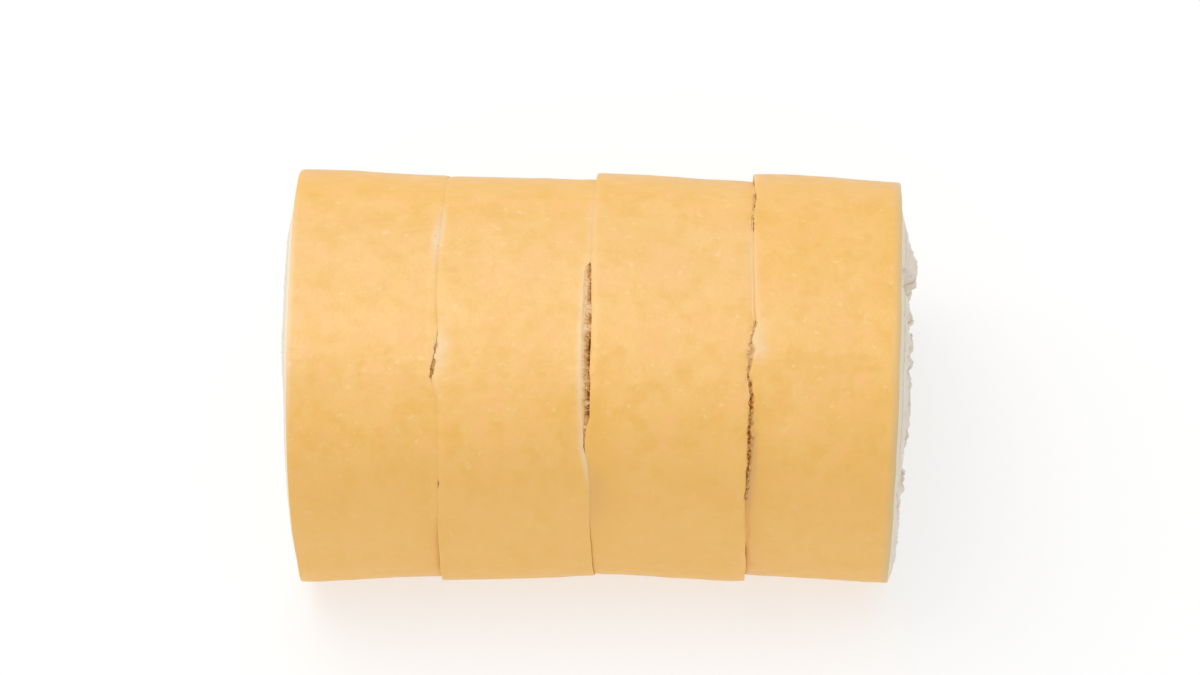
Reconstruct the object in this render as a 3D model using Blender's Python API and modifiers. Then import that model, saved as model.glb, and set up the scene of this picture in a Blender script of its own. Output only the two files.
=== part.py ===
"""Mille crepe roll, cut into four slices that stand together as one loaf.

Metres, +Z up. X runs along the roll, -Y is the side that faces the viewer, and the
origin lies under the roll's middle, on the surface that the roll stands on.

Each slice is three solids: the thick outer crepe that wraps it, the thin inner crepe
that winds inwards as a flat spiral, and the whipped cream between the turns. They are
first made straight, with plain cut faces, and then pressed into the slice's own shape.
"""

import math
from dataclasses import dataclass

import bmesh
import bpy
from mathutils import Vector, noise

MM = 0.001

# The section of the roll, which is a sagging round that has settled on a flat foot.
SECTION_HEIGHT = 77 * MM
SECTION_REACH = 51.8 * MM  # from the middle to the front, and to the back
WAIST_HEIGHT = 31 * MM  # where the section is widest
FOOT_DIP = 1.5 * MM  # how far the round would go below the table if it were not flat
SHOULDER_ROUNDNESS = 2.4  # superellipse exponent above the waist
FOOT_ROUNDNESS = 3.2  # and below it

# The crepes and the cream.
WRAP_THICKNESS = 1.8 * MM
INNER_CREPE_THICKNESS = 1.3 * MM
CLEARANCE = 0.32 * MM  # kept between two pieces that touch
HEART_HALF_WIDTH = 15 * MM  # the flat heart that the spiral winds round
HEART_HEIGHT = 37 * MM
HEART_BLUNTNESS = 0.3  # 1 gives pointed ends, and less gives rounder ones
SPIRAL_TURNS = 6
SPIRAL_START = math.radians(250)  # the outer end lies under the roll
SPIRAL_OUTER_DEPTH = 0.07  # depth from the wrap, 0, to the heart, 1
SPIRAL_INNER_DEPTH = 0.88
SPIRAL_UNEVENNESS = 0.014
SWELLS_PER_TURN = 2
SWELL_DRIFT = 5  # radians that the swells have turned by, once at the heart

# The cut faces.
WRAP_EDGE_TUCK = 0.25 * MM  # how far the knife has pressed the wrap in at a cut
TUCK_LENGTH = 1.6 * MM
TOUCHING_GAP = 0.36 * MM  # between two slices where their wraps meet
BULGE_SQUARENESS = 12  # how close to the wrap the filling's bulge starts
CREAM_ROUGHNESS = 0.7 * MM
SHELTERED = 0.25  # share of that roughness between two slices
CRAG_SIZE = 4.5 * MM
CUT_WANDER = 0.16 * MM  # how far a cut edge strays from a straight line
WANDER_SIZE = 9 * MM
SKIN_UNEVENNESS = 0.45 * MM  # slow dents in the outside
DENT_SIZE = 24 * MM

# How finely the solids are made.
POINTS_AROUND = 44
WRAP_STATIONS = (0, 0.04, 0.5, 0.96, 1)  # shares of a slice's width
POINTS_PER_TURN = 22

SLICE_WIDTH = 38.6 * MM  # before the slice is pressed between its own two cuts

# The middle of the whole roll, as its sizes below are taken. The origin moves there.
ROLL_MIDDLE_X = -0.14 * MM
ROLL_MIDDLE_Y = -0.45 * MM

WRAP_COLOUR = (0.91, 0.57, 0.20, 1)
INNER_CREPE_COLOUR = (0.86, 0.62, 0.30, 1)
CREAM_COLOUR = (0.90, 0.86, 0.78, 1)
SCATTER_RADIUS = (4 * MM, 2 * MM, 1 * MM)  # of red, green and blue under the surface
SHARP_ANGLE = math.radians(35)


@dataclass(frozen=True)
class Gape:
    """A stretch round the outside where two slices have parted."""

    angle: float  # degrees round the section, 90 at the top and 180 at the front
    spread: float
    width: float


@dataclass(frozen=True)
class Cut:
    """A knife cut across the roll, or one of its two ends."""

    x: float
    skew: float  # how far it runs along the roll for each unit to the back
    lean: float  # and for each unit up
    bulge: float  # how far the filling stands out of the wrap there
    gapes: tuple = ()


@dataclass(frozen=True)
class Shape:
    """The size of the section where a slice meets one of its cuts."""

    front: float
    back: float
    height: float


CUTS = (
    Cut(-74.9 * MM, 0.002, -0.048, 1.6 * MM),
    Cut(-39.4 * MM, -0.011, -0.023, -0.35 * MM,
        (Gape(114, 9, 0.9 * MM), Gape(147, 16, 0.2 * MM))),
    Cut(0.8 * MM, 0.009, -0.045, -0.35 * MM,
        (Gape(112, 20, 1.9 * MM),)),
    Cut(38.0 * MM, -0.005, 0.005, -0.35 * MM,
        (Gape(132, 18, 1.0 * MM), Gape(64, 7, 0.4 * MM))),
    Cut(75.7 * MM, 0.010, -0.001, 3.2 * MM),
)

# Each slice's section at its left cut and at its right one.
SLICE_SHAPES = (
    (Shape(54.6 * MM, 52.6 * MM, 77.2 * MM), Shape(51.8 * MM, 51.6 * MM, 76.6 * MM)),
    (Shape(53.2 * MM, 51.1 * MM, 77.0 * MM), Shape(50.7 * MM, 51.2 * MM, 76.8 * MM)),
    (Shape(50.2 * MM, 53.3 * MM, 77.4 * MM), Shape(51.3 * MM, 51.4 * MM, 76.5 * MM)),
    (Shape(49.3 * MM, 53.7 * MM, 77.4 * MM), Shape(51.1 * MM, 52.4 * MM, 76.8 * MM)),
)


def mix(first, second, share):
    """The value this share of the way from first to second."""
    return first + (second - first) * share


def section_point(angle, inset=0.0):
    """(y, z) of the plain section at this angle round it, this far inside the outside."""
    c, s = math.cos(angle), math.sin(angle)
    above = s >= 0
    roundness = SHOULDER_ROUNDNESS if above else FOOT_ROUNDNESS
    rise = SECTION_HEIGHT - WAIST_HEIGHT if above else WAIST_HEIGHT + FOOT_DIP
    r = (abs(c) ** roundness + abs(s) ** roundness) ** (-1 / roundness)
    y = (SECTION_REACH - inset) * r * c
    z = WAIST_HEIGHT + (rise - inset) * r * s
    return y, max(z, inset)


def place_in_section(y, z):
    """(angle, share) of a point: the share is 0 in the middle and 1 at the outside."""
    above = z >= WAIST_HEIGHT
    roundness = SHOULDER_ROUNDNESS if above else FOOT_ROUNDNESS
    rise = SECTION_HEIGHT - WAIST_HEIGHT if above else WAIST_HEIGHT + FOOT_DIP
    across, up = y / SECTION_REACH, (z - WAIST_HEIGHT) / rise
    share = (abs(across) ** roundness + abs(up) ** roundness) ** (1 / roundness)
    return math.atan2(up, across), min(share, 1.0)


def spiral_point(angle, depth):
    """(y, z) at this angle round the spiral and this deep, from the wrap to the heart."""
    y, z = section_point(angle, WRAP_THICKNESS + CLEARANCE)
    c = math.cos(angle)
    heart_y = math.copysign(HEART_HALF_WIDTH * abs(c) ** HEART_BLUNTNESS, c)
    return mix(y, heart_y, depth), mix(z, HEART_HEIGHT, depth)


def spiral_line(overrun=0.0):
    """The points of the inner crepe's middle line, run on at both ends by this length."""
    count = SPIRAL_TURNS * POINTS_PER_TURN
    points = []
    for i in range(count + 1):
        share = i / count
        angle = SPIRAL_START + share * SPIRAL_TURNS * math.tau
        depth = mix(SPIRAL_OUTER_DEPTH, SPIRAL_INNER_DEPTH, share)
        swell = math.sin(SWELLS_PER_TURN * angle + SWELL_DRIFT * share)
        depth += SPIRAL_UNEVENNESS * swell * (1 - share)
        points.append(Vector(spiral_point(angle, depth)))
    points[0] += (points[0] - points[1]).normalized() * overrun
    points[-1] += (points[-1] - points[-2]).normalized() * overrun
    return points


def gape_at(cut, angle):
    """How far this cut has opened at this angle round the section."""
    width = 0.0
    for gape in cut.gapes:
        away = (math.degrees(angle) % 360 - gape.angle) / gape.spread
        width += gape.width * math.exp(-away * away)
    return width


def cut_offset(cut, side, y, z):
    """How far a cut face lies from the cut's place on X. side is -1 for the face to its
    left and 1 for the one to its right."""
    angle, share = place_in_section(y, z)
    opened = (TOUCHING_GAP + gape_at(cut, angle) * share**3) / 2
    inside = 1 - share**BULGE_SQUARENESS
    outwards = cut.bulge * inside
    crag = noise.noise(Vector((cut.x, y, z)) / CRAG_SIZE) * CREAM_ROUGHNESS
    wander = noise.noise(Vector((cut.x, y, z)) / WANDER_SIZE) * CUT_WANDER
    rough = crag * inside * (1 if cut.bulge > 0 else SHELTERED)
    along = cut.skew * y + cut.lean * z + wander
    return along + side * (opened - outwards - rough)


def press(point, number):
    """Moves a point of the straight slice to where the numbered slice has it."""
    left, right = CUTS[number], CUTS[number + 1]
    at_left, at_right = SLICE_SHAPES[number]
    x, y, z = point
    share = min(max(x / SLICE_WIDTH, 0), 1)
    start = left.x + cut_offset(left, 1, y, z)
    end = right.x + cut_offset(right, -1, y, z)

    to_edge = min(share, 1 - share) * SLICE_WIDTH
    tuck = WRAP_EDGE_TUCK * max(0, 1 - to_edge / TUCK_LENGTH) ** 2
    reach = mix(at_left.front, at_right.front, share)
    if y > 0:
        reach = mix(at_left.back, at_right.back, share)
    height = mix(at_left.height, at_right.height, share)
    dent = noise.noise(Vector((mix(start, end, share), y, z)) / DENT_SIZE)
    grow = (SKIN_UNEVENNESS * dent - tuck) / SECTION_REACH
    return Vector((
        mix(start, end, share) - ROLL_MIDDLE_X,
        y * (reach / SECTION_REACH + grow) - ROLL_MIDDLE_Y,
        z * (height / SECTION_HEIGHT + grow),
    ))


def new_object(name, mesh, collection):
    """An object that shows this mesh, in this collection."""
    made = bpy.data.objects.new(name, mesh)
    collection.objects.link(made)
    return made


def swept_surface(name, outline, stations, closed, collection):
    """An open surface: a line in the section, carried along X from station to station."""
    bm = bmesh.new()
    row = [bm.verts.new((stations[0], y, z)) for y, z in outline]
    pairs = list(zip(row, row[1:])) + ([(row[-1], row[0])] if closed else [])
    edges = [bm.edges.new(pair) for pair in pairs]
    for here, there in zip(stations, stations[1:]):
        grown = bmesh.ops.extrude_edge_only(bm, edges=edges)["geom"]
        moved = [part for part in grown if isinstance(part, bmesh.types.BMVert)]
        bmesh.ops.translate(bm, verts=moved, vec=(there - here, 0, 0))
        edges = [part for part in grown if isinstance(part, bmesh.types.BMEdge)
                 and all(vert in moved for vert in part.verts)]
    bmesh.ops.recalc_face_normals(bm, faces=bm.faces[:])
    mesh = bpy.data.meshes.new(name)
    bm.to_mesh(mesh)
    bm.free()
    return new_object(name, mesh, collection)


def thicken(surface, thickness, offset):
    """Gives an open surface this thickness, with Solidify."""
    shell = surface.modifiers.new("thickness", "SOLIDIFY")
    shell.thickness = thickness
    shell.offset = offset
    shell.use_even_offset = True


def face_out(mesh):
    """Turns a closed mesh's faces outwards."""
    bm = bmesh.new()
    bm.from_mesh(mesh)
    bmesh.ops.recalc_face_normals(bm, faces=bm.faces[:])
    bm.to_mesh(mesh)
    bm.free()


def applied(source):
    """The object's mesh with its modifiers applied, its faces turned out."""
    bpy.context.view_layer.update()
    graph = bpy.context.evaluated_depsgraph_get()
    mesh = bpy.data.meshes.new_from_object(source.evaluated_get(graph))
    face_out(mesh)
    return mesh


def straight_wrap(tools):
    """The outer crepe of a slice that has not been pressed yet."""
    outline = [section_point(i * math.tau / POINTS_AROUND) for i in range(POINTS_AROUND)]
    stations = [share * SLICE_WIDTH for share in WRAP_STATIONS]
    tube = swept_surface("wrap_form", outline, stations, True, tools)
    thicken(tube, WRAP_THICKNESS, -1)
    return applied(tube)


def straight_inner_crepe(tools):
    """The spiral of inner crepe of a slice that has not been pressed yet."""
    sheet = swept_surface("sheet_form", spiral_line(), (0, SLICE_WIDTH), False, tools)
    thicken(sheet, INNER_CREPE_THICKNESS, 0)
    return applied(sheet)


def straight_cream(tools):
    """The cream of an unpressed slice: all that is inside the wrap, less the crepe."""
    inset = WRAP_THICKNESS + CLEARANCE
    outline = [section_point(i * math.tau / POINTS_AROUND, inset)
               for i in range(POINTS_AROUND)]
    body = swept_surface("cream_form", outline, (0, SLICE_WIDTH), True, tools)
    bm = bmesh.new()
    bm.from_mesh(body.data)
    bmesh.ops.holes_fill(bm, edges=bm.edges[:])
    bmesh.ops.recalc_face_normals(bm, faces=bm.faces[:])
    bm.to_mesh(body.data)
    bm.free()

    past = 2 * MM  # the cutter runs past both cut faces
    cutter = swept_surface("sheet_cutter", spiral_line(CLEARANCE),
                           (-past, SLICE_WIDTH + past), False, tools)
    thicken(cutter, INNER_CREPE_THICKNESS + 2 * CLEARANCE, 0)
    cutter.data = applied(cutter)
    cutter.modifiers.clear()
    room = body.modifiers.new("room_for_crepe", "BOOLEAN")
    room.operation = "DIFFERENCE"
    room.object = cutter
    return applied(body)


def comes_first(pair):
    """Of two points, the one that an anticlockwise turn round the heart meets first."""
    heart = Vector((0, 0, HEART_HEIGHT))
    one, other = pair
    turn = (one.co - heart).yz.cross((other.co - heart).yz)
    return (one, other) if turn > 0 else (other, one)


def crease_walls(bm):
    """Splits every four-sided face that runs along the roll on the same diagonal, so
    that pieces lying side by side still do once they have been pressed."""
    for face in [face for face in bm.faces if len(face.verts) == 4]:
        a, b, c, d = sorted(face.verts, key=lambda vert: vert.co.x)
        if c.co.x - b.co.x < MM:
            continue
        near, _ = comes_first((a, b))
        _, far = comes_first((c, d))
        bmesh.utils.face_split(face, near, far)


def pressed(mesh, number):
    """A copy of a straight piece's mesh, in triangles, pressed into a slice's shape."""
    bm = bmesh.new()
    bm.from_mesh(mesh)
    crease_walls(bm)
    bmesh.ops.triangulate(bm, faces=bm.faces[:])
    for vert in bm.verts:
        vert.co = press(vert.co, number)
    made = bpy.data.meshes.new(mesh.name)
    bm.to_mesh(made)
    bm.free()
    made.shade_smooth()
    made.set_sharp_from_angle(angle=SHARP_ANGLE)
    return made


def finish_of(name, colour, roughness, subsurface):
    """A Principled material."""
    material = bpy.data.materials.new(name)
    material.use_nodes = True
    shader = material.node_tree.nodes["Principled BSDF"]
    shader.inputs["Base Color"].default_value = colour
    shader.inputs["Roughness"].default_value = roughness
    shader.inputs["Subsurface Weight"].default_value = subsurface
    shader.inputs["Subsurface Radius"].default_value = SCATTER_RADIUS
    material.diffuse_color = colour
    return material


def clear_scene():
    """Removes what the scene holds at the start."""
    for old in list(bpy.data.objects):
        bpy.data.objects.remove(old)


def new_collection(name):
    """A collection in the scene."""
    made = bpy.data.collections.new(name)
    bpy.context.scene.collection.children.link(made)
    return made


def main():
    """Builds the four slices."""
    clear_scene()
    parts, tools = new_collection("mille_crepe_roll"), new_collection("forms")
    pieces = {
        "outer_crepe": (straight_wrap(tools), finish_of(
            "outer_crepe", WRAP_COLOUR, 0.5, 0.1)),
        "inner_crepe": (straight_inner_crepe(tools), finish_of(
            "inner_crepe", INNER_CREPE_COLOUR, 0.65, 0.1)),
        "cream": (straight_cream(tools), finish_of(
            "cream", CREAM_COLOUR, 0.55, 0.2)),
    }
    for helper in tools.objects:
        helper.hide_render = True
        helper.display_type = "WIRE"
    for number in range(len(SLICE_SHAPES)):
        for name, (mesh, finish) in pieces.items():
            made = new_object(f"{name}_{number + 1}", pressed(mesh, number), parts)
            made.data.materials.append(finish)


main()
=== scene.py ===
"""Looks of a mille crepe roll that has been cut into four slices.

Every solid of the frame is replaced by a fine mesh of the same form. A slice is first
laid out straight, as a section carried along X, and is then pressed between its two
cuts, as the solids are. The finishes are procedural.
"""

import logging
import math
import random
from dataclasses import dataclass
from enum import Enum
from typing import Iterator, NamedTuple, Sequence

import bpy
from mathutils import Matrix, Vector, noise


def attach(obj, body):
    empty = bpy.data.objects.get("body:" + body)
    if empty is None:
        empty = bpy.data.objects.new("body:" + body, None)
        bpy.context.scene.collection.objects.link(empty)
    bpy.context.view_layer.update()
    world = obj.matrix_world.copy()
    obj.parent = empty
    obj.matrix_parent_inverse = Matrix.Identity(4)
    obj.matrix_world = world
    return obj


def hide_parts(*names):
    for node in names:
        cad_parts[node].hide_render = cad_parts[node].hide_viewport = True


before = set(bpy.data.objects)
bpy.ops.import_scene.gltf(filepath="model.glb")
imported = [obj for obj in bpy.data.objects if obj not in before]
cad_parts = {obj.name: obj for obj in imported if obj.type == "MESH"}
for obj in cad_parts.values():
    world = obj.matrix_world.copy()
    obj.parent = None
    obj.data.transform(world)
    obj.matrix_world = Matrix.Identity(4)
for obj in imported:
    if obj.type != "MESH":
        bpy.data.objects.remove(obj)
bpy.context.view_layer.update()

LOG = logging.getLogger("mille_crepe_roll")
MM = 0.001
SAME_ANGLE = 1e-6
CRISP_FROM = math.radians(60)
BODY = "root"

Colour = tuple[float, float, float, float]
Flat = tuple[float, float]


def mix(first: float, second: float, share: float) -> float:
    """Returns the value this share of the way from first to second."""
    return first + (second - first) * share


def ease(value: float) -> float:
    """Returns a smooth step from 0 to 1 as the value goes from 0 to 1."""
    value = min(max(value, 0.0), 1.0)
    return value * value * (3 - 2 * value)


def screen_colour(red: int, green: int, blue: int) -> Colour:
    """Turns a colour as a screen shows it into the linear one that a shader takes.

    Args:
        red: Red, from 0 to 255.
        green: Green, from 0 to 255.
        blue: Blue, from 0 to 255.

    Returns:
        The linear colour, with an alpha of 1.
    """
    def linear(level: int) -> float:
        """Returns the linear light of one channel."""
        share = level / 255
        return share / 12.92 if share <= 0.04045 else ((share + 0.055) / 1.055) ** 2.4

    return (linear(red), linear(green), linear(blue), 1.0)


# --------------------------------------------------------------------------- form


class End(Enum):
    """One of a slice's two cut faces; the value points into the slice along X."""

    LEFT = 1
    RIGHT = -1


@dataclass(frozen=True)
class Ripple:
    """Unevenness of one size.

    Attributes:
        size: About how far it is from one bump to the next.
        height: How high the bumps are.
    """

    size: float
    height: float

    def at(self, x: float, y: float, z: float) -> float:
        """Returns the height of the bumps at a point."""
        scale = 1 / self.size
        return noise.noise(Vector((x * scale, y * scale, z * scale))) * self.height


def ruffled(ripples: Sequence[Ripple], x: float, y: float, z: float) -> float:
    """Returns the summed height of several ripples at a point."""
    return sum(ripple.at(x, y, z) for ripple in ripples)


@dataclass(frozen=True)
class Section:
    """The plain section of the roll: a sagging round on a flat foot.

    Attributes:
        height: From the table to the top.
        reach: From the middle to the front, and to the back.
        waist: The height at which the section is widest.
        dip: How far the round would go below the table if it were not flat.
        shoulder: Superellipse exponent above the waist.
        foot: Superellipse exponent below the waist.
    """

    height: float = 77 * MM
    reach: float = 51.8 * MM
    waist: float = 31 * MM
    dip: float = 1.5 * MM
    shoulder: float = 2.4
    foot: float = 3.2

    def half(self, above: bool) -> Flat:
        """Finds the form of the upper or the lower half.

        Args:
            above: Whether the upper one is asked for.

        Returns:
            Its rise and its exponent.
        """
        if above:
            return self.height - self.waist, self.shoulder
        return self.waist + self.dip, self.foot

    def point(self, angle: float, inset: float = 0.0) -> Flat:
        """Finds a point of the section.

        Args:
            angle: The way round, from the back over the top to the front.
            inset: How far inside the outside the point lies.

        Returns:
            Its y and z.
        """
        c, s = math.cos(angle), math.sin(angle)
        rise, roundness = self.half(s >= 0)
        r = (abs(c) ** roundness + abs(s) ** roundness) ** (-1 / roundness)
        return (self.reach - inset) * r * c, max(self.waist + (rise - inset) * r * s, inset)

    def place(self, y: float, z: float) -> Flat:
        """Finds where in the section a point lies.

        Args:
            y: The point's y.
            z: The point's z.

        Returns:
            Its angle, and its share of the way from the middle to the outside.
        """
        rise, roundness = self.half(z >= self.waist)
        across, up = y / self.reach, (z - self.waist) / rise
        share = (abs(across) ** roundness + abs(up) ** roundness) ** (1 / roundness)
        return math.atan2(up, across), min(share, 1.0)

    def outward(self, angle: float) -> Vector:
        """Finds the direction straight out of the section.

        Args:
            angle: The way round.

        Returns:
            The direction, of length 1.
        """
        step = 0.01
        y0, z0 = self.point(angle - step)
        y1, z1 = self.point(angle + step)
        return Vector((0, z1 - z0, y0 - y1)).normalized()


class Lips(NamedTuple):
    """How the two slices lie at a seam, at one angle round the section.

    Attributes:
        angle: Degrees round the section, 90 at the top and 180 at the front.
        stray: How far to the right of the cut their middle lies, in millimetres.
        parted: How far they are apart, in millimetres.
    """

    angle: float
    stray: float
    parted: float = 0.0


class Swell(NamedTuple):
    """How far the filling stands out of an end, at one angle round the section.

    Attributes:
        angle: Degrees round the section.
        height: How far it stands out there, in millimetres.
    """

    angle: float
    height: float


def at_angle(knots: Sequence[tuple[float, ...]], degrees: float) -> list[float]:
    """Finds the values that are given at some angles round the section.

    Args:
        knots: Angles, each with its values, in rising order. Between two they change evenly.
        degrees: The angle asked for.

    Returns:
        The values there, which are the first or the last ones outside the knots.
    """
    before = knots[0]
    for knot in knots:
        if degrees < knot[0]:
            share = (degrees - before[0]) / max(knot[0] - before[0], SAME_ANGLE)
            share = min(max(share, 0.0), 1.0)
            return [mix(first, second, share) for first, second in zip(before[1:], knot[1:])]
        before = knot
    return list(before[1:])


@dataclass(frozen=True)
class Tint:
    """A soft patch of skin beside a cut that is paler or richer than the rest. Pale patches are
    smeared cream, and painted light where they lighten the left end or a step's shadow; rich and
    deep ones are painted shade.

    Attributes:
        end: At which end of its slice it lies.
        angle: Degrees round the section of its middle.
        spread: How many degrees it reaches to each side.
        reach: How far in from the cut it reaches, in millimetres.
        strength: Up to 1 for pale, and down to -1 for rich or -2 for deep.
    """

    end: End
    angle: float
    spread: float
    reach: float
    strength: float

    def at(self, degrees: float, to_edge: float) -> float:
        """Finds how strong it is at one place.

        Args:
            degrees: The angle of the place round the section.
            to_edge: How far it is from the cut.

        Returns:
            The strength.
        """
        away = (degrees - self.angle) / self.spread
        shown = ease(1 - to_edge / (self.reach * MM))
        return self.strength * math.exp(-away * away) * shown


@dataclass(frozen=True)
class Cut:
    """A knife cut across the roll, or one of its two ends.

    Attributes:
        x: Where it crosses the roll's foot.
        skew: How far it runs along the roll for each unit to the back.
        lean: How far it runs along the roll for each unit up.
        lips: How the slices at its two sides lie, in order of angle.
        one_sided: Which part of a parting the left slice makes, from 0 to 1.
        bevel: Which part of it is a bevel at the very edge of the skin.
        meet: How far from the cut the tops of its two slices start to come level.
        swells: How far the filling stands out, for an end of the roll.
        rim_height: How far it stands out near the skin at most.
        inner_height: How far it stands out at the heart.
        torn: How ragged the filling is there.
        worn: How far in from an end the skin carries painted shade.
        edge_look: 0 at a seam, 2 where an end's cut edge keeps its own pale colour, and 3 where
            its cut edge and cream carry painted light.
        tints: Patches of skin beside it: smeared cream, painted light and painted shade.
        touching_gap: Between two slices where they touch.
        hollow: How much further apart they are at the heart.
        wander: How the knife has strayed from a flat cut.
        depth_of_parting: The larger, the less deep a parting reaches.
        depth_of_bevel: The same for the bevel at the very edge.
        depth_of_stray: The same for the lips' stray.
        roundness: The larger, the nearer the skin an end stands out in full.
        smooth_rim: Between which shares of the way out an end's face grows smooth.
        settling: Between which shares it comes to the height of its swells.
        torn_lip: How uneven the lips of a parting are.
        ragged: How much a parting's unevenness grows as it opens.
        apart: How far from the cut the unevenness of each lip is read.
    """

    x: float
    skew: float
    lean: float
    lips: tuple[Lips, ...] = ()
    one_sided: float = 0.5
    bevel: float = 0.0
    meet: float = 3.0 * MM
    swells: tuple[Swell, ...] = ()
    rim_height: float = 1.9 * MM
    inner_height: float = 1.2 * MM
    torn: float = 1.0
    worn: float = 0.0
    edge_look: float = 0.0
    tints: tuple[Tint, ...] = ()
    touching_gap: float = -0.02 * MM
    hollow: float = 0.35 * MM
    wander: Ripple = Ripple(9 * MM, 0.16 * MM)
    depth_of_parting: int = 15
    depth_of_bevel: int = 110
    depth_of_stray: int = 5
    roundness: int = 22
    smooth_rim: Flat = (0.86, 0.925)
    settling: Flat = (0.58, 0.84)
    torn_lip: tuple[Ripple, ...] = (Ripple(2.6 * MM, 0.5 * MM), Ripple(0.9 * MM, 0.45 * MM))
    ragged: float = 2.0
    apart: float = 7 * MM

    @property
    def open(self) -> bool:
        """True at the roll's two ends, where the filling shows."""
        return bool(self.swells)

    def face(self, end: End, y: float, z: float, tear: Sequence[Ripple]) -> float:
        """Finds the cut face of the slice at one side of the cut.

        Args:
            end: Which end of that slice the face is.
            y: Where on the face, from the front to the back.
            z: Where on the face, above the table.
            tear: How the knife has torn what is cut there.

        Returns:
            The face's x.
        """
        angle, share = SECTION.place(y, z)
        degrees = math.degrees(angle) % 360
        along = self.x + self.skew * y + self.lean * z + self.wander.at(self.x, y, z)
        if self.open:
            return along - end.value * self.standing_out(degrees, share, y, z, tear)
        stray, parted = at_angle(self.lips, degrees)
        edge = self.bevel and share**self.depth_of_bevel
        narrowing = mix(share**self.depth_of_parting, edge, self.bevel)
        if parted > 0:
            torn = ruffled(self.torn_lip, self.x + end.value * self.apart, y, z)
            torn *= self.ragged * (1 - edge) / MM
            parted = max(parted + torn * min(parted * self.ragged, 1), 0)
        part = self.one_sided if end is End.RIGHT else 1 - self.one_sided
        opened = self.touching_gap / 2 + part * parted * MM * narrowing
        inside = 1 - share**self.roundness
        return along + stray * MM * share**self.depth_of_stray + end.value * (
            opened + self.hollow * inside)

    def standing_out(self, degrees: float, share: float, y: float, z: float,
                     tear: Sequence[Ripple]) -> float:
        """Finds how far an end's face stands out at one place.

        Args:
            degrees: The angle of the place round the section.
            share: The place's share of the way from the middle to the outside.
            y: The place's y.
            z: The place's z.
            tear: How the knife has torn what is cut there.

        Returns:
            How far out of the plane of the cut the face lies.
        """
        first, last = self.smooth_rim
        deep = ease((last - share) / (last - first))
        height = at_angle(self.swells, degrees)[0] * MM
        rim = min(height, self.rim_height)
        inner, outer = self.settling
        settled = mix(self.inner_height, height, ease((share - inner) / (outer - inner)))
        inside = 1 - share**self.roundness
        rough = ruffled(tear, self.x, y, z) * self.torn * mix(0.1, 1, deep)
        return inside * mix(rim, settled, deep) + rough * min(inside * 3, 1)


@dataclass(frozen=True)
class Shape:
    """The size of the section where a slice meets one of its cuts.

    Attributes:
        front: From the roll's middle to its front.
        back: From the roll's middle to its back.
        height: From the table to the top.
    """

    front: float
    back: float
    height: float


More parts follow.
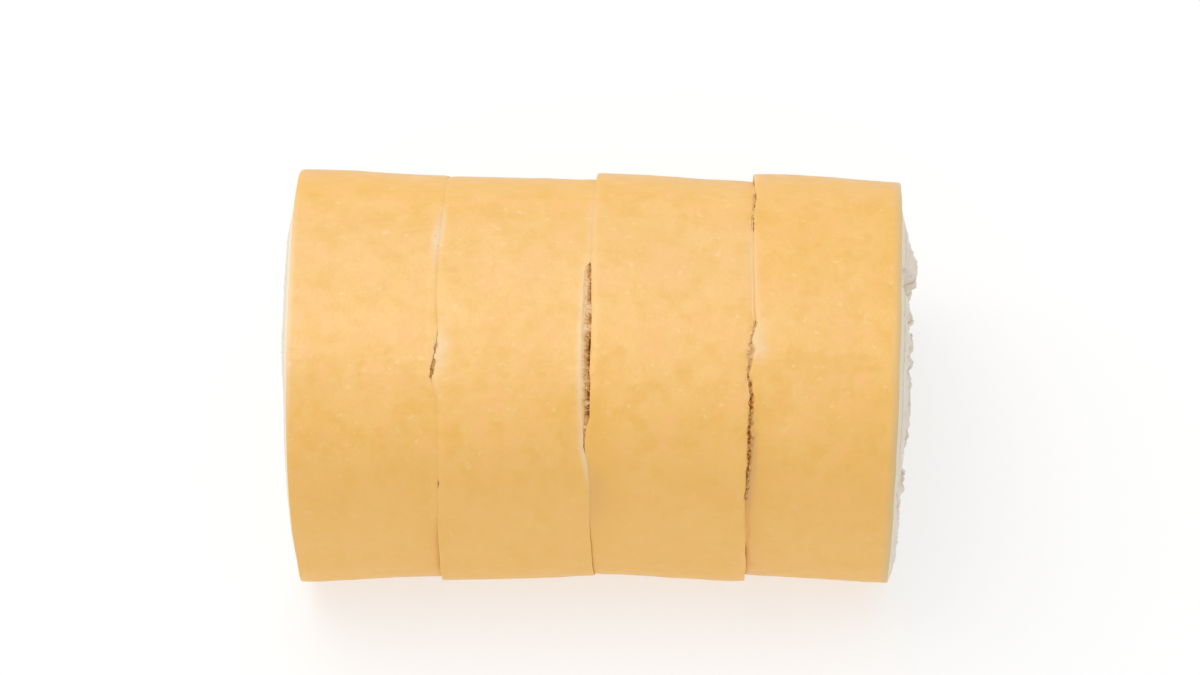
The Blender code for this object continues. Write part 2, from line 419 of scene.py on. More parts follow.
SECTION = Section()
ROLL_MIDDLE = Vector((-0.14 * MM, -0.45 * MM, 0))
# The tints paint light and shade beside the cuts: rich ones are painted shade where a slice lies
# lower than its neighbour or further from the light; pale ones are smeared cream and painted
# light.
CUTS = (
    # The left end's cut edges and cream carry painted light, as do its pale tints.
    Cut(-74.9 * MM, -0.006, -0.048, rim_height=1.7 * MM, edge_look=3.0,
        inner_height=0.5 * MM, torn=0.5, swells=(
        Swell(0, 0.6), Swell(48, 0.3), Swell(62, 0.5), Swell(74, 1.4), Swell(92, 1.8),
        Swell(112, 1.5), Swell(128, 0.9), Swell(170, 0.7), Swell(360, 0.6)), tints=(
        Tint(End.LEFT, 105, 45, 9, 0.06), Tint(End.LEFT, 105, 40, 1.6, 0.6))),
    Cut(-39.4 * MM, -0.011, -0.023, lips=(
        Lips(5, 0, 0.1), Lips(20, 0.9, 0.1), Lips(37, 1.2, 0.03), Lips(48, 1), Lips(60, 0.85),
        Lips(66, 0.65), Lips(72.5, 0.2), Lips(80, -0.25), Lips(86, -0.15), Lips(97, -0.2),
        Lips(103, 0.3), Lips(107, 0.5), Lips(108.5, 0.48, 0.12), Lips(109.8, 0.25, 0.2),
        Lips(111, 0.32, 0.3), Lips(112.1, -0.1, 0.45), Lips(113.2, -0.05, 0.45),
        Lips(114.4, -0.35, 0.6), Lips(115.7, -0.3, 0.8), Lips(117, -0.5, 0.95),
        Lips(118.2, -0.85, 0.75), Lips(119.2, -0.75, 0.75), Lips(120.2, -1.0, 0.5),
        Lips(121.4, -0.8, 0.2), Lips(122, -0.6), Lips(126, 0.25), Lips(132, 0.5),
        Lips(148.8, 0.53), Lips(150, 0.56, 0.25), Lips(151.3, 0.54, 0.25), Lips(152.5, 0.48),
        Lips(166, 0), Lips(200, 0), Lips(330, 0, 0.1)), tints=(
        Tint(End.RIGHT, 77, 8, 2.8, 0.8), Tint(End.LEFT, 72, 8, 2.0, 0.55),
        Tint(End.RIGHT, 112, 4, 1.6, 0.4), Tint(End.LEFT, 112, 6, 5.5, 0.55),
        Tint(End.LEFT, 122.5, 4, 1, 0.25))),
    Cut(0.8 * MM, 0.009, -0.045, one_sided=1.0, bevel=0.5, meet=2.0 * MM, lips=(
        Lips(25, 0, 0.12), Lips(48, 0, 0.03), Lips(60, 0), Lips(84.3, 0), Lips(85.7, 0.33, 1.6),
        Lips(92, 0.5, 2.0), Lips(97, 0.6, 2.15), Lips(103.5, 0.9, 2.55), Lips(109.6, 0.9, 2.55),
        Lips(115.4, 0.77, 2.4), Lips(119.5, 0.7, 2.3), Lips(121, 1.0, 2.55),
        Lips(123, 1.0, 2.45), Lips(126.5, 0.92, 2.35), Lips(131.6, 0.85, 2.15),
        Lips(134, 0.1, 1.1), Lips(136, -0.3, 0.6), Lips(138, -0.4, 0.5), Lips(140, -0.6, 0.3),
        Lips(142.5, -0.45), Lips(146, 0.1), Lips(153, 0.5), Lips(174, 0), Lips(200, 0),
        Lips(330, 0, 0.12)), tints=(
        Tint(End.RIGHT, 55, 12, 1.6, 0.35), Tint(End.RIGHT, 118, 32, 1.9, 0.6),
        Tint(End.LEFT, 154, 22, 12, -1.0), Tint(End.RIGHT, 150, 14, 4, 0.2),
        Tint(End.RIGHT, 146, 9, 2.4, 0.8), Tint(End.LEFT, 137, 5, 1.3, 0.75),
        Tint(End.LEFT, 131, 9, 6, -0.9), Tint(End.LEFT, 70, 14, 1.6, 0.2))),
    Cut(38.0 * MM, -0.005, 0.005, one_sided=0.4, meet=0.3 * MM, lips=(
        Lips(25, 0.4, 0.12), Lips(36, 0.6), Lips(53.5, 0.77), Lips(54.8, 0.77, 0.3),
        Lips(61, 0.7, 0.4), Lips(62.2, 0.6), Lips(64.5, 0.42), Lips(65.5, 0.3, 0.35),
        Lips(71, 0.2, 0.3), Lips(72.5, 0.3), Lips(98, 0.5), Lips(102, 0.9),
        Lips(103.5, 0.85, 0.35), Lips(106.6, 0.45, 0.5), Lips(109.6, -0.05, 0.8),
        Lips(112.5, -0.1, 1), Lips(115, -0.4, 0.95), Lips(117, -0.6, 0.8),
        Lips(119.7, -0.5, 0.8), Lips(122.5, -0.15, 1), Lips(125.2, 0.15, 1.1),
        Lips(128, 0.03, 1.1), Lips(130.6, -0.15, 1), Lips(134.8, -0.15, 0.95),
        Lips(142, -0.18, 0.9), Lips(145, -0.3, 0.7), Lips(149.8, -0.48, 0.5),
        Lips(153.3, -0.55, 0.4), Lips(155.8, -0.65, 0.28), Lips(157, -0.6), Lips(190, 0),
        Lips(330, 0, 0.12)), tints=(
        Tint(End.RIGHT, 84, 15, 2.5, 0.3), Tint(End.LEFT, 84, 15, 2.5, 0.25),
        Tint(End.LEFT, 79, 14, 0.8, 0.45), Tint(End.RIGHT, 41, 8, 1.2, 1.5),
        Tint(End.LEFT, 43, 8, 1.5, 1.7), Tint(End.LEFT, 111, 7, 5.5, 0.7),
        Tint(End.LEFT, 139, 19, 3, -1.4), Tint(End.LEFT, 150, 22, 10, -0.8),
        Tint(End.LEFT, 76, 14, 45, -0.3), Tint(End.RIGHT, 188, 13, 2.5, 0.5),
        Tint(End.LEFT, 187, 13, 3.5, 0.6))),
    # The right end's skin carries painted shade over its last 2.6 mm, and a rich tint over 13
    # mm.
    Cut(75.33 * MM, 0.012, 0.012, worn=2.6 * MM, edge_look=2.0, swells=(
        Swell(0, 1.0), Swell(48, 0.1), Swell(57, 0.2), Swell(62.4, 1.0), Swell(65.6, 1.6),
        Swell(68.8, 2.4), Swell(71.5, 3.6), Swell(75.6, 3.9), Swell(80, 3.8), Swell(81.5, 3.4),
        Swell(83, 0.4), Swell(89.2, 0.6), Swell(91.6, 2.1), Swell(94, 2.4), Swell(96.8, 3.6),
        Swell(98.6, 1.2), Swell(101.6, 2.1), Swell(106, 3.2), Swell(109, 2.5), Swell(113.2, 3.0),
        Swell(115.2, 2.0), Swell(120, 3.0), Swell(122.8, 2.7), Swell(128.8, 2.9),
        Swell(134.8, 2.3), Swell(140, 1.8), Swell(145.6, 1.7), Swell(150, 0.9),
        Swell(153.5, 0.9), Swell(156.4, 2.8), Swell(158.4, 0.8), Swell(164, 0.8),
        Swell(171, 1.5), Swell(210, 1.4), Swell(225, 0.8), Swell(360, 1.0)), tints=(
        Tint(End.RIGHT, 92, 38, 13, -0.55),)),
)
SLICE_SHAPES = (
    (Shape(54.6 * MM, 52.6 * MM, 77.2 * MM), Shape(51.8 * MM, 51.6 * MM, 76.6 * MM)),
    (Shape(53.2 * MM, 51.1 * MM, 77.0 * MM), Shape(50.7 * MM, 51.2 * MM, 76.8 * MM)),
    (Shape(50.2 * MM, 53.3 * MM, 77.4 * MM), Shape(51.3 * MM, 51.4 * MM, 76.5 * MM)),
    (Shape(49.3 * MM, 53.7 * MM, 77.4 * MM), Shape(51.1 * MM, 52.4 * MM, 76.8 * MM)),
)
STEPS = (
    Shape(0, 0, 0),
    *(Shape((right.front - left.front) / 2, (right.back - left.back) / 2,
            (right.height - left.height) / 2)
      for (_, left), (right, _) in zip(SLICE_SHAPES, SLICE_SHAPES[1:])),
    Shape(0, 0, 0),
)


@dataclass(frozen=True)
class Slice:
    """One slice of the roll, which presses straight pieces into its own shape.

    Attributes:
        number: Its place in the roll, from 1 at the left.
        width: The slice's width before it is pressed.
        tuck: How far the knife has pressed the skin in at a cut.
        tuck_length: How far in from the cut that reaches.
        stepped: Below this height two slices meet in a step.
        level: Above this height they meet level.
        behind: Further to the back than this they start to meet in a step again.
        far_behind: Further back than this the step is a full one.
        dents: Slow unevenness of the whole slice.
    """

    number: int
    width: float = 38.6 * MM
    tuck: float = 0.12 * MM
    tuck_length: float = 1.6 * MM
    stepped: float = 28 * MM
    level: float = 50 * MM
    behind: float = 30 * MM
    far_behind: float = 41 * MM
    dents: Ripple = Ripple(24 * MM, 0.45 * MM)

    @property
    def cuts(self) -> tuple[Cut, Cut]:
        """The cuts at its left and its right."""
        return CUTS[self.number - 1], CUTS[self.number]

    @property
    def at_end(self) -> bool:
        """True for the first and the last slice, which have a face that shows."""
        return any(cut.open for cut in self.cuts)

    def span(self, y: float, z: float, tear: Sequence[Ripple]) -> Flat:
        """Returns the x of the slice's left and right faces at a place on them."""
        left, right = self.cuts
        return left.face(End.LEFT, y, z, tear), right.face(End.RIGHT, y, z, tear)

    def press(self, u: float, y: float, z: float, span: Flat) -> Vector:
        """Moves a point of the straight slice to where the slice has it.

        Args:
            u: How far along the straight slice the point is.
            y: The point's y.
            z: The point's z.
            span: What span() says there.

        Returns:
            The point in the frame.
        """
        share = u / self.width
        x = mix(span[0], span[1], share)
        to_edge = min(share, 1 - share) * self.width
        tuck = self.tuck * max(0.0, 1 - to_edge / self.tuck_length) ** 2
        at_left, at_right = SLICE_SHAPES[self.number - 1]
        if y > 0:
            reach = mix(at_left.back, at_right.back, share)
        else:
            reach = mix(at_left.front, at_right.front, share)
        height = mix(at_left.height, at_right.height, share)
        upper = ease((z - self.stepped) / (self.level - self.stepped))
        upper *= 1 - ease((y - self.behind) / (self.far_behind - self.behind))
        for side, number, to_cut in ((-1, self.number - 1, u), (1, self.number, self.width - u)):
            near = side * upper * max(0.0, 1 - to_cut / CUTS[number].meet) ** 2
            height += near * STEPS[number].height
            reach += near * (STEPS[number].back if y > 0 else STEPS[number].front)
        grow = (self.dents.at(x, y, z) - tuck) / SECTION.reach
        place = Vector((
            x, y * (reach / SECTION.reach + grow), z * (height / SECTION.height + grow)))
        return place - ROLL_MIDDLE


@dataclass(frozen=True)
class Winding:
    """The flat spiral that the inner crepe winds in.

    Attributes:
        skin: Thickness of the outer crepe, inside which all of this lies.
        thickness: Thickness of the inner crepe.
        clearance: Between two pieces that touch.
        heart_half_width: Half the width of the flat heart.
        heart_height: The height of the heart.
        bluntness: 1 gives the heart pointed ends, and less gives rounder ones.
        turns: How often the crepe goes round.
        start: The angle of its outer end.
        outer_depth: Depth of the outer end, 0 at the skin and 1 at the heart.
        inner_depth: Depth of the inner end.
        swell: How uneven the depth is.
        swells: How many swells there are in a turn.
        drift: By how much the swells have turned at the heart.
        step_limits: The least and the most that a mesh step along it turns.
        ahead: How far ahead that looks for the length of a step.
    """

    skin: float = 1.8 * MM
    thickness: float = 1.3 * MM
    clearance: float = 0.05 * MM
    heart_half_width: float = 15 * MM
    heart_height: float = 37 * MM
    bluntness: float = 0.3
    turns: int = 6
    start: float = math.radians(250)
    outer_depth: float = 0.07
    inner_depth: float = 0.88
    swell: float = 0.014
    swells: int = 2
    drift: float = 5.0
    step_limits: Flat = (math.radians(0.8), math.radians(9))
    ahead: float = 0.1

    @property
    def end(self) -> float:
        """The angle of the inner end, counted on from the outer one."""
        return self.start + self.turns * math.tau

    def at_depth(self, angle: float, depth: float) -> Flat:
        """Finds a point inside the skin.

        Args:
            angle: The way round.
            depth: How deep it lies, 0 at the skin and 1 at the heart.

        Returns:
            Its y and z.
        """
        y, z = SECTION.point(angle, self.skin + self.clearance)
        c = math.cos(angle)
        heart = math.copysign(self.heart_half_width * abs(c) ** self.bluntness, c)
        return mix(y, heart, depth), mix(z, self.heart_height, depth)

    def middle(self, angle: float) -> Flat:
        """Finds the middle of the crepe's thickness.

        Args:
            angle: Where along the spiral.

        Returns:
            Its y and z.
        """
        share = (angle - self.start) / (self.turns * math.tau)
        depth = mix(self.outer_depth, self.inner_depth, share)
        swell = math.sin(self.swells * angle + self.drift * share)
        return self.at_depth(angle, depth + self.swell * swell * (1 - share))

    def side(self, angle: float, out: float) -> Flat:
        """Finds a point beside the crepe's middle.

        Args:
            angle: Where along the spiral.
            out: How far outwards of the middle, or inwards if negative.

        Returns:
            Its y and z.
        """
        step = 0.02
        y0, z0 = self.middle(max(angle - step, self.start))
        y1, z1 = self.middle(min(angle + step, self.end))
        y, z = self.middle(angle)
        length = math.hypot(y1 - y0, z1 - z0)
        return y + out * (z1 - z0) / length, z - out * (y1 - y0) / length

    def angles(self, first: float, last: float, spacing: float) -> Iterator[float]:
        """Steps along the spiral.

        Args:
            first: The angle to start from.
            last: The angle to stop at.
            spacing: The distance between two steps.

        Yields:
            The angles, first and last among them.
        """
        angle = first
        least, most = self.step_limits
        while angle < last - least / 2:
            yield angle
            held = min(max(angle, self.start), self.end - self.ahead)
            y0, z0 = self.middle(held)
            y1, z1 = self.middle(held + self.ahead)
            step = self.ahead * spacing / math.hypot(y1 - y0, z1 - z0)
            angle += min(max(step, least), most)
        yield last


WINDING = Winding()


# --------------------------------------------------------------------------- meshes


class Knot(NamedTuple):
    """A vertex on its way into a mesh.

    Attributes:
        place: Where it is.
        tint: How pale or rich its finish is.
        worn: Up to 1 where the skin carries painted shade beside an end's face, and that face's
            look on it.
    """

    place: Vector
    tint: float
    worn: float = 0.0


def placed(name: str, points: Sequence[Sequence[float]], faces: Sequence[tuple[int, ...]],
           **values: Sequence[float]) -> bpy.types.Object:
    """Makes a smooth mesh and puts it in the scene.

    Args:
        name: The new object's name.
        points: Where its points are.
        faces: Its faces, each as the numbers of its points.
        values: What its finish reads, as a name and one value for each point.

    Returns:
        The object.
    """
    mesh = bpy.data.meshes.new(name)
    mesh.from_pydata(points, [], faces)
    for key, numbers in values.items():
        mesh.attributes.new(key, "FLOAT", "POINT").data.foreach_set("value", numbers)
    mesh.shade_smooth()
    piece = bpy.data.objects.new(name, mesh)
    bpy.context.scene.collection.objects.link(piece)
    return piece


def lofted(name: str, loops: Sequence[Sequence[Knot]], ring: bool,
           crisp: bool = False) -> bpy.types.Object:
    """Makes a closed body from closed loops that follow each other.

    Args:
        name: The new object's name.
        loops: The loops, with equally many knots each.
        ring: Whether the last loop joins the first. Otherwise both get a lid.
        crisp: Whether its corners are shaded as sharp ones.

    Returns:
        The object, linked to the scene and smooth.
    """
    around = len(loops[0])
    knots = [knot for loop in loops for knot in loop]
    faces = []
    for i in range(len(loops) if ring else len(loops) - 1):
        here, there = i * around, (i + 1) % len(loops) * around
        for j in range(around):
            k = (j + 1) % around
            faces.append((here + j, here + k, there + k, there + j))
    if not ring:
        last = (len(loops) - 1) * around
        faces.append(tuple(range(around - 1, -1, -1)))
        faces.append(tuple(range(last, last + around)))
    piece = placed(name, [knot.place for knot in knots], faces,
                   tint=[knot.tint for knot in knots], worn=[knot.worn for knot in knots])
    if crisp:
        piece.data.set_sharp_from_angle(angle=CRISP_FROM)
    return piece


def shares(count: int) -> list[float]:
    """Returns evenly spaced shares from 0 to 1, both among them."""
    return [i / (count - 1) for i in range(count)]


class Food:
    """A part of the roll that is built as a mesh and then dressed.

    Attributes:
        name: Its name.
        slot: The first part of the name of the solid that a piece of a slice replaces.
        in_place_of_solid: Whether it replaces the solid of its name.
    """

    name: str
    slot: str = "cream"
    in_place_of_solid: bool = False

    def build(self) -> bpy.types.Object:
        """Builds the mesh."""
        raise NotImplementedError

    def dress(self, material: bpy.types.Material) -> bpy.types.Object:
        """Builds the part, gives it its finish and puts it in its place.

        Args:
            material: The finish.

        Returns:
            The finished piece.
        """
        piece = self.build()
        piece.data.materials.append(material)
        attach(piece, BODY)
        if self.in_place_of_solid:
            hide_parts(self.name)
        LOG.info("%s: %d faces", piece.name, len(piece.data.polygons))
        return piece


@dataclass
class Piece(Food):
    """A part of one slice.

    Attributes:
        slice: The slice it belongs to.
    """

    slice: Slice

    in_place_of_solid = True

    @property
    def name(self) -> str:
        """The name of the solid that this piece replaces."""
        return f"{self.slot}_{self.slice.number}"


@dataclass
class OuterCrepe(Piece):
    """The thick crepe round a slice.

    Attributes:
        slot: The first part of the name of the solid it replaces.
        thickness: How thick it is.
        edge_radius: How round its cut edges are.
        around: How many steps the mesh takes round the slice.
        fine, coarse: Mesh steps along the slice, near a cut and between the cuts.
        fine_steps: How many fine ones there are at each cut.
        edge_steps: Mesh steps down its cut edge, as shares of the way in.
        under_steps: Mesh steps back along its inside, as shares of the way.
        tinted: How deep in a seam the tint of its surface reaches.
        pale_edge: How pale its cut edge is deeper in a seam.
        painted_shading: Painted shade and light round the slice: richer on the back edge, the
            lower front and the underside, a little paler on top.
        tear: How its cut edges stray.
        relief: The low bumps of its outside.
        creases: Shallow creases, which run along the roll.
        crease_stretch: How much longer than wide the creases are.
    """

    slot: str = "outer_crepe"
    thickness: float = 1.8 * MM
    edge_radius: float = 0.02 * MM
    around: int = 680
    fine: float = 0.35 * MM
    coarse: float = 0.85 * MM
    fine_steps: int = 8
    edge_steps: tuple[float, ...] = (0.08, 0.2, 0.35, 0.55, 1.0)
    under_steps: tuple[float, ...] = (0.05, 0.35, 0.65, 0.95)
    tinted: float = 0.8 * MM
    pale_edge: float = 0.3
    # Painted shade and light by the angle round the section.
    painted_shading: tuple[Flat, ...] = (
        (0, -0.95), (15, -1.1), (28, -1.4), (38, -1.7), (47, -1.25), (55, -0.45), (61, 0.04),
        (72, 0.14), (85, 0.14), (100, 0.08), (110, 0.05), (125, 0.04), (138, -0.15),
        (150, -0.65), (200, -0.85), (330, -0.9), (360, -0.95))
    tear: tuple[Ripple, ...] = (Ripple(4 * MM, 0.16 * MM), Ripple(1.3 * MM, 0.14 * MM))
    relief: tuple[Ripple, ...] = (
        Ripple(9 * MM, 0.16 * MM), Ripple(3.6 * MM, 0.07 * MM), Ripple(1.5 * MM, 0.03 * MM))
    creases: Ripple = Ripple(3 * MM, 0.08 * MM)
    crease_stretch: float = 4.0

    def stations(self) -> list[float]:
        """Lays out the mesh steps along the outside.

        Returns:
            How far along they are, closer together near the two cuts.
        """
        width, r = self.slice.width, self.edge_radius
        near = [r + self.fine * i for i in range(self.fine_steps)]
        count = round((width - 2 * near[-1]) / self.coarse)
        middle = [mix(near[-1], width - near[-1], i / count) for i in range(1, count)]
        return near + middle + [width - u for u in reversed(near)]

    def outline(self) -> list[tuple[float, float, bool]]:
        """Lays out the skin's own section, from cut to cut and back.

        Returns:
            For each point: how far along, how far in, and whether the knife made it.
        """
        r, width = self.edge_radius, self.slice.width
        corner = [math.radians(degrees) for degrees in (45, 90)]
        depths = [mix(r, self.thickness, share) for share in self.edge_steps]
        inside = [mix(width, 0, share) for share in self.under_steps]
        points = [(u, 0.0, False) for u in self.stations()]
        points += [(width - r + r * math.sin(a), r - r * math.cos(a), True) for a in corner]
        points += [(width, depth, True) for depth in depths]
        points += [(u, self.thickness, False) for u in inside]
        points += [(0.0, depth, True) for depth in reversed(depths)]
        points += [(r - r * math.sin(a), r - r * math.cos(a), True)
                   for a in reversed(corner)]
        return points

    def height(self, place: Vector) -> float:
        """Finds how far the outside stands out.

        Args:
            place: Where.

        Returns:
            The height of its bumps and creases there.
        """
        x, y, z = place
        crease = self.creases.at(x / self.crease_stretch, y, z)
        return ruffled(self.relief, x, y, z) - abs(crease)

    def tint(self, degrees: float, u: float, inset: float, knifed: bool) -> float:
        """Finds how pale or rich the skin is at one place: painted light and shade round the
        slice and beside the cuts, smeared cream, and the paler cut edge in a seam.

        Args:
            degrees: The angle of the place round the section.
            u: How far along the straight slice it is.
            inset: How far in it is.
            knifed: Whether it is on a cut edge.

        Returns:
            From 1 for pale to -1 for rich and -2 for deep.
        """
        total, = at_angle(self.painted_shading, degrees)
        shown = 1 - ease(inset / self.tinted)
        for end, cut, to_edge in zip(End, self.slice.cuts, (u, self.slice.width - u)):
            total += shown * sum(
                tint.at(degrees, to_edge) for tint in cut.tints if tint.end is end)
            if knifed and to_edge < self.slice.width / 2 and not cut.open:
                total += self.pale_edge * (1 - shown)
        return min(max(total, -2.0), 1.0)

    def worn(self, u: float, knifed: bool) -> float:
        """Finds how much painted shade the skin carries beside an end, and the look of that
        end's cut edge.

        Args:
            u: How far along the straight slice the place is.
            knifed: Whether it is on a cut edge.

        Returns:
            From 0 away from the roll's ends to 1 in full painted shade beside an end, and the
            edge's look on the edge itself.
        """
        cut = self.slice.cuts[0 if u < self.slice.width / 2 else 1]
        if knifed:
            return cut.edge_look
        if not cut.worn:
            return 0.0
        return ease(1 - min(u, self.slice.width - u) / cut.worn)

    def build(self) -> bpy.types.Object:
        """Builds the skin as a ring of its own section.

        Returns:
            The skin of one slice.
        """
        outline = self.outline()
        loops = []
        for step in range(self.around):
            angle = step * math.tau / self.around
            outward = SECTION.outward(angle)
            degrees = math.degrees(angle)
            spans = {}
            loop = []
            for u, inset, knifed in outline:
                y, z = SECTION.point(angle, inset)
                if inset not in spans:
                    spans[inset] = self.slice.span(y, z, self.tear)
                place = self.slice.press(u, y, z, spans[inset])
                proud = 1 - inset / self.thickness
                place += outward * (self.height(place) * proud)
                place.z = max(place.z, 0.0)
                loop.append(Knot(place, self.tint(degrees, u, inset, knifed),
                                 self.worn(u, knifed)))
            loops.append(loop)
        return lofted(self.name, loops, ring=True)


@dataclass
class InnerCrepe(Piece):
    """The thin crepe that winds inwards through a slice.

    Attributes:
        slot: The first part of the name of the solid it replaces.
        shown: The distance between two steps along the spiral in a slice at an end.
        hidden: The same in a slice between two others.
        tear: How its cut edges stray.
        stations: How many steps the mesh takes from cut to cut.
        proud: How far its cut edge stands out of the cream.
        soft: How far in from a cut its sides start to round off.
        blunt: How much of its thickness is left at the cut.
        smeared: How far in from a cut the knife has smeared it.
        flutter: How its sides wave.
    """

    slot: str = "inner_crepe"
    shown: float = 0.8 * MM
    hidden: float = 1.6 * MM
    tear: tuple[Ripple, ...] = (Ripple(3 * MM, 0.35 * MM), Ripple(1.1 * MM, 0.3 * MM))
    stations: int = 5
    proud: float = -0.04 * MM
    soft: float = 0.1 * MM
    blunt: float = 0.85
    smeared: float = 1.5 * MM
    flutter: Ripple = Ripple(5 * MM, 0.25 * MM)

    def outline(self) -> list[Flat]:
        """Lays out the sheet's own section, from cut to cut and back.

        Returns:
            For each point: how far along, and how far out of its middle.
        """
        half, width = WINDING.thickness / 2, self.slice.width
        edge = half * self.blunt
        outer = [(mix(self.soft, width - self.soft, share), half)
                 for share in shares(self.stations)]
        inner = [(u, -half) for u, _ in reversed(outer)]
        return outer + [(width, edge), (width, -edge)] + inner + [(0.0, -edge), (0.0, edge)]

    def build(self) -> bpy.types.Object:
        """Builds the sheet as a band that follows the spiral.

        Returns:
            The sheet in one slice.
        """
        outline = self.outline()
        spacing = self.shown if self.slice.at_end else self.hidden
        loops = []
        for angle in WINDING.angles(WINDING.start, WINDING.end, spacing):
            loop = []
            y, z = WINDING.middle(angle)
            wave = self.flutter.at(self.slice.number, y, z)
            for u, out in outline:
                y, z = WINDING.side(angle, out + wave)
                left, right = self.slice.span(y, z, self.tear)
                span = left - self.proud, right + self.proud
                place = self.slice.press(u, y, z, span)
                to_edge = min(u, self.slice.width - u)
                loop.append(Knot(place, ease(1 - to_edge / self.smeared)))
            loops.append(loop)
        return lofted(self.name, loops, ring=False)


@dataclass
class Cream(Piece):
    """The whipped cream between the turns, which is one long band too.

    Attributes:
        shown: Mesh step along the band, and points across it, in a slice at an end.
        hidden: The same in a slice between two others.
        stations: How many steps the mesh takes from cut to cut.
        tear: How its cut faces stray.
        squeeze: How much further it stands out halfway between two turns.
        calm: How far from where it starts to lie against itself that is in full.
        plain: How far from there its cut faces stray in full.
        seam_shading: Between which shares of the way out it darkens with painted shade in a
            seam.
    """

    shown: tuple[float, int] = (0.45 * MM, 17)
    hidden: tuple[float, int] = (1.4 * MM, 7)
    stations: int = 4
    tear: tuple[Ripple, ...] = (
        Ripple(4.5 * MM, 0.6 * MM), Ripple(2.2 * MM, 0.7 * MM), Ripple(1.0 * MM, 0.6 * MM),
        Ripple(0.5 * MM, 0.35 * MM))
    squeeze: float = 0.2 * MM
    calm: float = math.radians(35)
    plain: float = math.radians(9)
    seam_shading: Flat = (0.8, 0.92)

    def edges(self, angle: float, before: bool) -> tuple[Flat, Flat]:
        """Finds the two sides of the band.

        Args:
            angle: Where along the band, which runs a turn further than the crepe.
            before: Whether a spot where a side jumps is read as just before it.

        Returns:
            The point on its outer side and the one on its inner side.
        """
        half = WINDING.thickness / 2 + WINDING.clearance
        outer_turn = angle - math.tau
        first, last = outer_turn < WINDING.start, angle > WINDING.end
        if before and math.isclose(outer_turn, WINDING.start):
            first = True
        if not before and math.isclose(angle, WINDING.end):
            last = True
        outer = WINDING.at_depth(angle, 0) if first else WINDING.side(outer_turn, -half)
        inner = WINDING.at_depth(angle, 1) if last else WINDING.side(angle, half)
        return outer, inner

    @property
    def jumps(self) -> tuple[float, ...]:
        """The angles at which one of the band's sides jumps, or the band ends."""
        return WINDING.start, WINDING.start + math.tau, WINDING.end, WINDING.end + math.tau

    def rows(self, spacing: float) -> Iterator[tuple[float, Flat, Flat]]:
        """Steps along the band, with a double step where one of its sides jumps.

        Args:
            spacing: The distance between two steps.

        Yields:
            The angle, and the points on the outer and the inner side.
        """
        for first, last in zip(self.jumps, self.jumps[1:]):
            steps = list(WINDING.angles(first, last, spacing))
            for angle in steps[:-1]:
                yield angle, *self.edges(angle, before=False)
            yield last, *self.edges(last, before=True)

    def to_jump(self, angle: float) -> float:
        """Returns how far along the band the nearest jump is, as an angle."""
        return min(abs(angle - jump) for jump in self.jumps)

    def span(self, angle: float, y: float, z: float) -> Flat:
        """Finds the two cut faces at a place on the band.

        Args:
            angle: Where along the band.
            y: The place's y.
            z: The place's z.

        Returns:
            The x of both, as the knife left them where the band lies against itself.
        """
        torn = self.slice.span(y, z, self.tear)
        away = self.to_jump(angle) / self.plain
        if away >= 1:
            return torn
        clean = self.slice.span(y, z, ())
        return mix(clean[0], torn[0], ease(away)), mix(clean[1], torn[1], ease(away))

    def squeezed(self, angle: float, share: float) -> float:
        """Returns how much further a cut face stands out this far across the band."""
        held = share if angle < WINDING.end else min(share, 0.5)
        return self.squeeze * math.sin(math.pi * held) * ease(self.to_jump(angle) / self.calm)

    def stain_and_shade(self, cut: Cut, y: float, z: float) -> float:
        """Finds the tint of a place on a cut face, which is painted shade near the skin in a
        seam.

        Args:
            cut: The cut.
            y: The place's y.
            z: The place's z.

        Returns:
            0, or down to -1 where it has painted shade.
        """
        if cut.open:
            return 0.0
        first, last = self.seam_shading
        return -ease((SECTION.place(y, z)[1] - first) / (last - first))

    def build(self) -> bpy.types.Object:
        """Builds the band, with its two cut faces and its two sides.

        Returns:
            The cream in one slice.
        """
        width = self.slice.width
        left_cut, right_cut = self.slice.cuts
        spacing, across = self.shown if self.slice.at_end else self.hidden
        inner_stations = shares(self.stations)[1:-1]
        loops = []
        for angle, outer, inner in self.rows(spacing):
            crossing = [(share, mix(outer[0], inner[0], share), mix(outer[1], inner[1], share))
                        for share in shares(across)]
            faces = [(y, z, self.squeezed(angle, share), self.span(angle, y, z))
                     for share, y, z in crossing]
            loop = [Knot(self.slice.press(0, y, z, (left - swell, right)),
                         self.stain_and_shade(left_cut, y, z), left_cut.edge_look)
                    for y, z, swell, (left, right) in faces]
            loop += [Knot(self.slice.press(width * share, *inner, faces[-1][3]), 0.0)
                     for share in inner_stations]
            loop += [Knot(self.slice.press(width, y, z, (left, right + swell)),
                          self.stain_and_shade(right_cut, y, z), right_cut.edge_look)
                     for y, z, swell, (left, right) in reversed(faces)]
            loop += [Knot(self.slice.press(width * share, *outer, faces[0][3]), 0.0)
                     for share in reversed(inner_stations)]
            loops.append(loop)
        return lofted(self.name, loops, ring=False, crisp=True)


